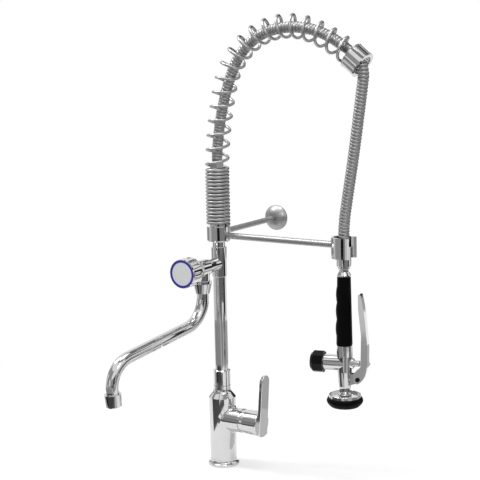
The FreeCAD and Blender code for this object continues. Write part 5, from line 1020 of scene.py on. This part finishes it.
class FAUCET_OT_stage(Operator):
    """Sets up the pale floor, the white backdrop, the soft lights and the cards that chrome reflects"""

    bl_idname = "faucet.stage"
    bl_label = "Stage"

    def floor(self, stage):
        """A white floor that keeps the faucet's shadow and fades into the backdrop away from it."""
        material = bpy.data.materials.new("studio_floor")
        tree = empty_tree(material)
        place = add_node(tree, "ShaderNodeTexCoord").outputs["Object"]
        away = add_node(tree, "ShaderNodeVectorMath", {0: place}, operation="LENGTH").outputs["Value"]
        fade = add_node(tree, "ShaderNodeMapRange", {
            "Value": away, "From Min": 0.25, "From Max": 0.9, "To Min": 0.5, "To Max": 1.0,
        })
        matt = add_node(tree, "ShaderNodeBsdfDiffuse", {"Color": stage.white})
        glow = add_node(tree, "ShaderNodeEmission", {"Color": stage.white, "Strength": 1.0})
        mix = add_node(tree, "ShaderNodeMixShader", {"Fac": fade, 1: matt, 2: glow})
        add_node(tree, "ShaderNodeOutputMaterial", {"Surface": mix})
        corners = [(x * FLOOR_REACH, y * FLOOR_REACH, 0) for x, y in ((-1, -1), (1, -1), (1, 1), (-1, 1))]
        stage_sheet("studio_floor", corners, [(0, 1, 2, 3)], material)

    def card(self, stage, centre, name, start, end, tone, low, high):
        """A card that only mirrors see, between two bearings and from its lower to its upper edge."""
        material = bpy.data.materials.new(name)
        tree = empty_tree(material)
        glow = add_node(tree, "ShaderNodeEmission", {"Color": srgb(tone), "Strength": 1.0})
        add_node(tree, "ShaderNodeOutputMaterial", {"Surface": glow})
        steps = max(1, round((end - start) / CARD_STEP))
        points = []
        for step in range(steps + 1):
            out = direction(stage, start + (end - start) * step / steps)
            for away, height in (low, high):
                points.append(centre + out * away * MM + Vector((0, 0, height * MM)))
        faces = [(2 * i, 2 * i + 2, 2 * i + 3, 2 * i + 1) for i in range(steps)]
        card = stage_sheet(name, points, faces, material)
        for ray in ("camera", "diffuse", "shadow", "transmission"):
            setattr(card, "visible_" + ray, False)

    def rows(self, stage, centre, rows):
        """The cards of some rows, in which they share their edges."""
        for front, low, high, cards in rows:
            for name, start, end, tone in cards:
                self.card(stage, centre, front + name, start, end, tone, low, high)

    def softbox(self, stage, name, bearing, elevation, distance, width, height, power):
        """A large soft light that looks at the faucet."""
        data = bpy.data.lights.new(name, "AREA")
        data.shape = "RECTANGLE"
        data.size = width
        data.size_y = height
        data.energy = power
        lamp = new_object(name, data)
        out = direction(stage, bearing, elevation)
        lamp.location = STAGE_MIDDLE + LAMP_AIM + out * distance
        lamp.rotation_euler = out.to_track_quat("Z", "Y").to_euler()

    def world(self, stage):
        """An even white room: full white where it is seen or mirrored, softer where it lights."""
        world = bpy.data.worlds.new("white_room")
        bpy.context.scene.world = world
        tree = empty_tree(world)
        way = add_node(tree, "ShaderNodeLightPath").outputs
        seen = way["Is Camera Ray"]
        for kind in ("Is Glossy Ray", "Is Transmission Ray"):
            seen = add_node(tree, "ShaderNodeMath", {0: seen, 1: way[kind]}, operation="MAXIMUM")
        strength = add_node(tree, "ShaderNodeMapRange", {"Value": seen, "To Min": stage.room_light})
        room = add_node(tree, "ShaderNodeBackground", {"Color": stage.white, "Strength": strength})
        add_node(tree, "ShaderNodeOutputWorld", {"Surface": room})

    def execute(self, context):
        stage = context.scene.faucet_stage
        context.scene.view_settings.view_transform = "Standard"
        self.world(stage)
        self.floor(stage)
        for card in CARDS:
            self.card(stage, STAGE_MIDDLE, *card)
        self.rows(stage, STAGE_MIDDLE, CARD_ROWS)
        self.rows(stage, Vector((0, 0, 0)), COLUMN_ROWS)
        for softbox in SOFTBOXES:
            self.softbox(stage, *softbox)
        return {"FINISHED"}


class FAUCET_PT_sidebar(Panel):
    """Lists the steps that make the faucet"""

    bl_idname = "FAUCET_PT_sidebar"
    bl_label = "Faucet"
    bl_space_type = "VIEW_3D"
    bl_region_type = "UI"
    bl_category = "Faucet"

    def draw(self, context):
        for step in STEPS:
            self.layout.operator(step.bl_idname)
        for group in GROUPS:
            owner = getattr(context.scene, group)
            for name in owner.__annotations__:
                self.layout.prop(owner, name)


GROUPS = {
    "faucet_spring": FaucetSpringSizes,
    "faucet_hose": FaucetHoseSizes,
    "faucet_sprayer": FaucetSprayerSizes,
    "faucet_finishes": FaucetFinishes,
    "faucet_stage": FaucetStage,
}

STEPS = (
    FAUCET_OT_camera,
    FAUCET_OT_drop_hose,
    FAUCET_OT_arch_hose,
    FAUCET_OT_arch_spring,
    FAUCET_OT_grip,
    FAUCET_OT_bumper,
    FAUCET_OT_adjuster_thread,
    FAUCET_OT_finishes,
    FAUCET_OT_stage,
)


def register():
    for name, group in GROUPS.items():
        bpy.utils.register_class(group)
        setattr(bpy.types.Scene, name, PointerProperty(type=group))
    for kind in (*STEPS, FAUCET_PT_sidebar):
        bpy.utils.register_class(kind)


def unregister():
    for kind in reversed((*STEPS, FAUCET_PT_sidebar)):
        bpy.utils.unregister_class(kind)
    for name, group in reversed(GROUPS.items()):
        delattr(bpy.types.Scene, name)
        bpy.utils.unregister_class(group)


def main():
    register()
    for step in STEPS:
        family, action = step.bl_idname.split(".")
        getattr(getattr(bpy.ops, family), action)()


if __name__ == "__main__":
    main()
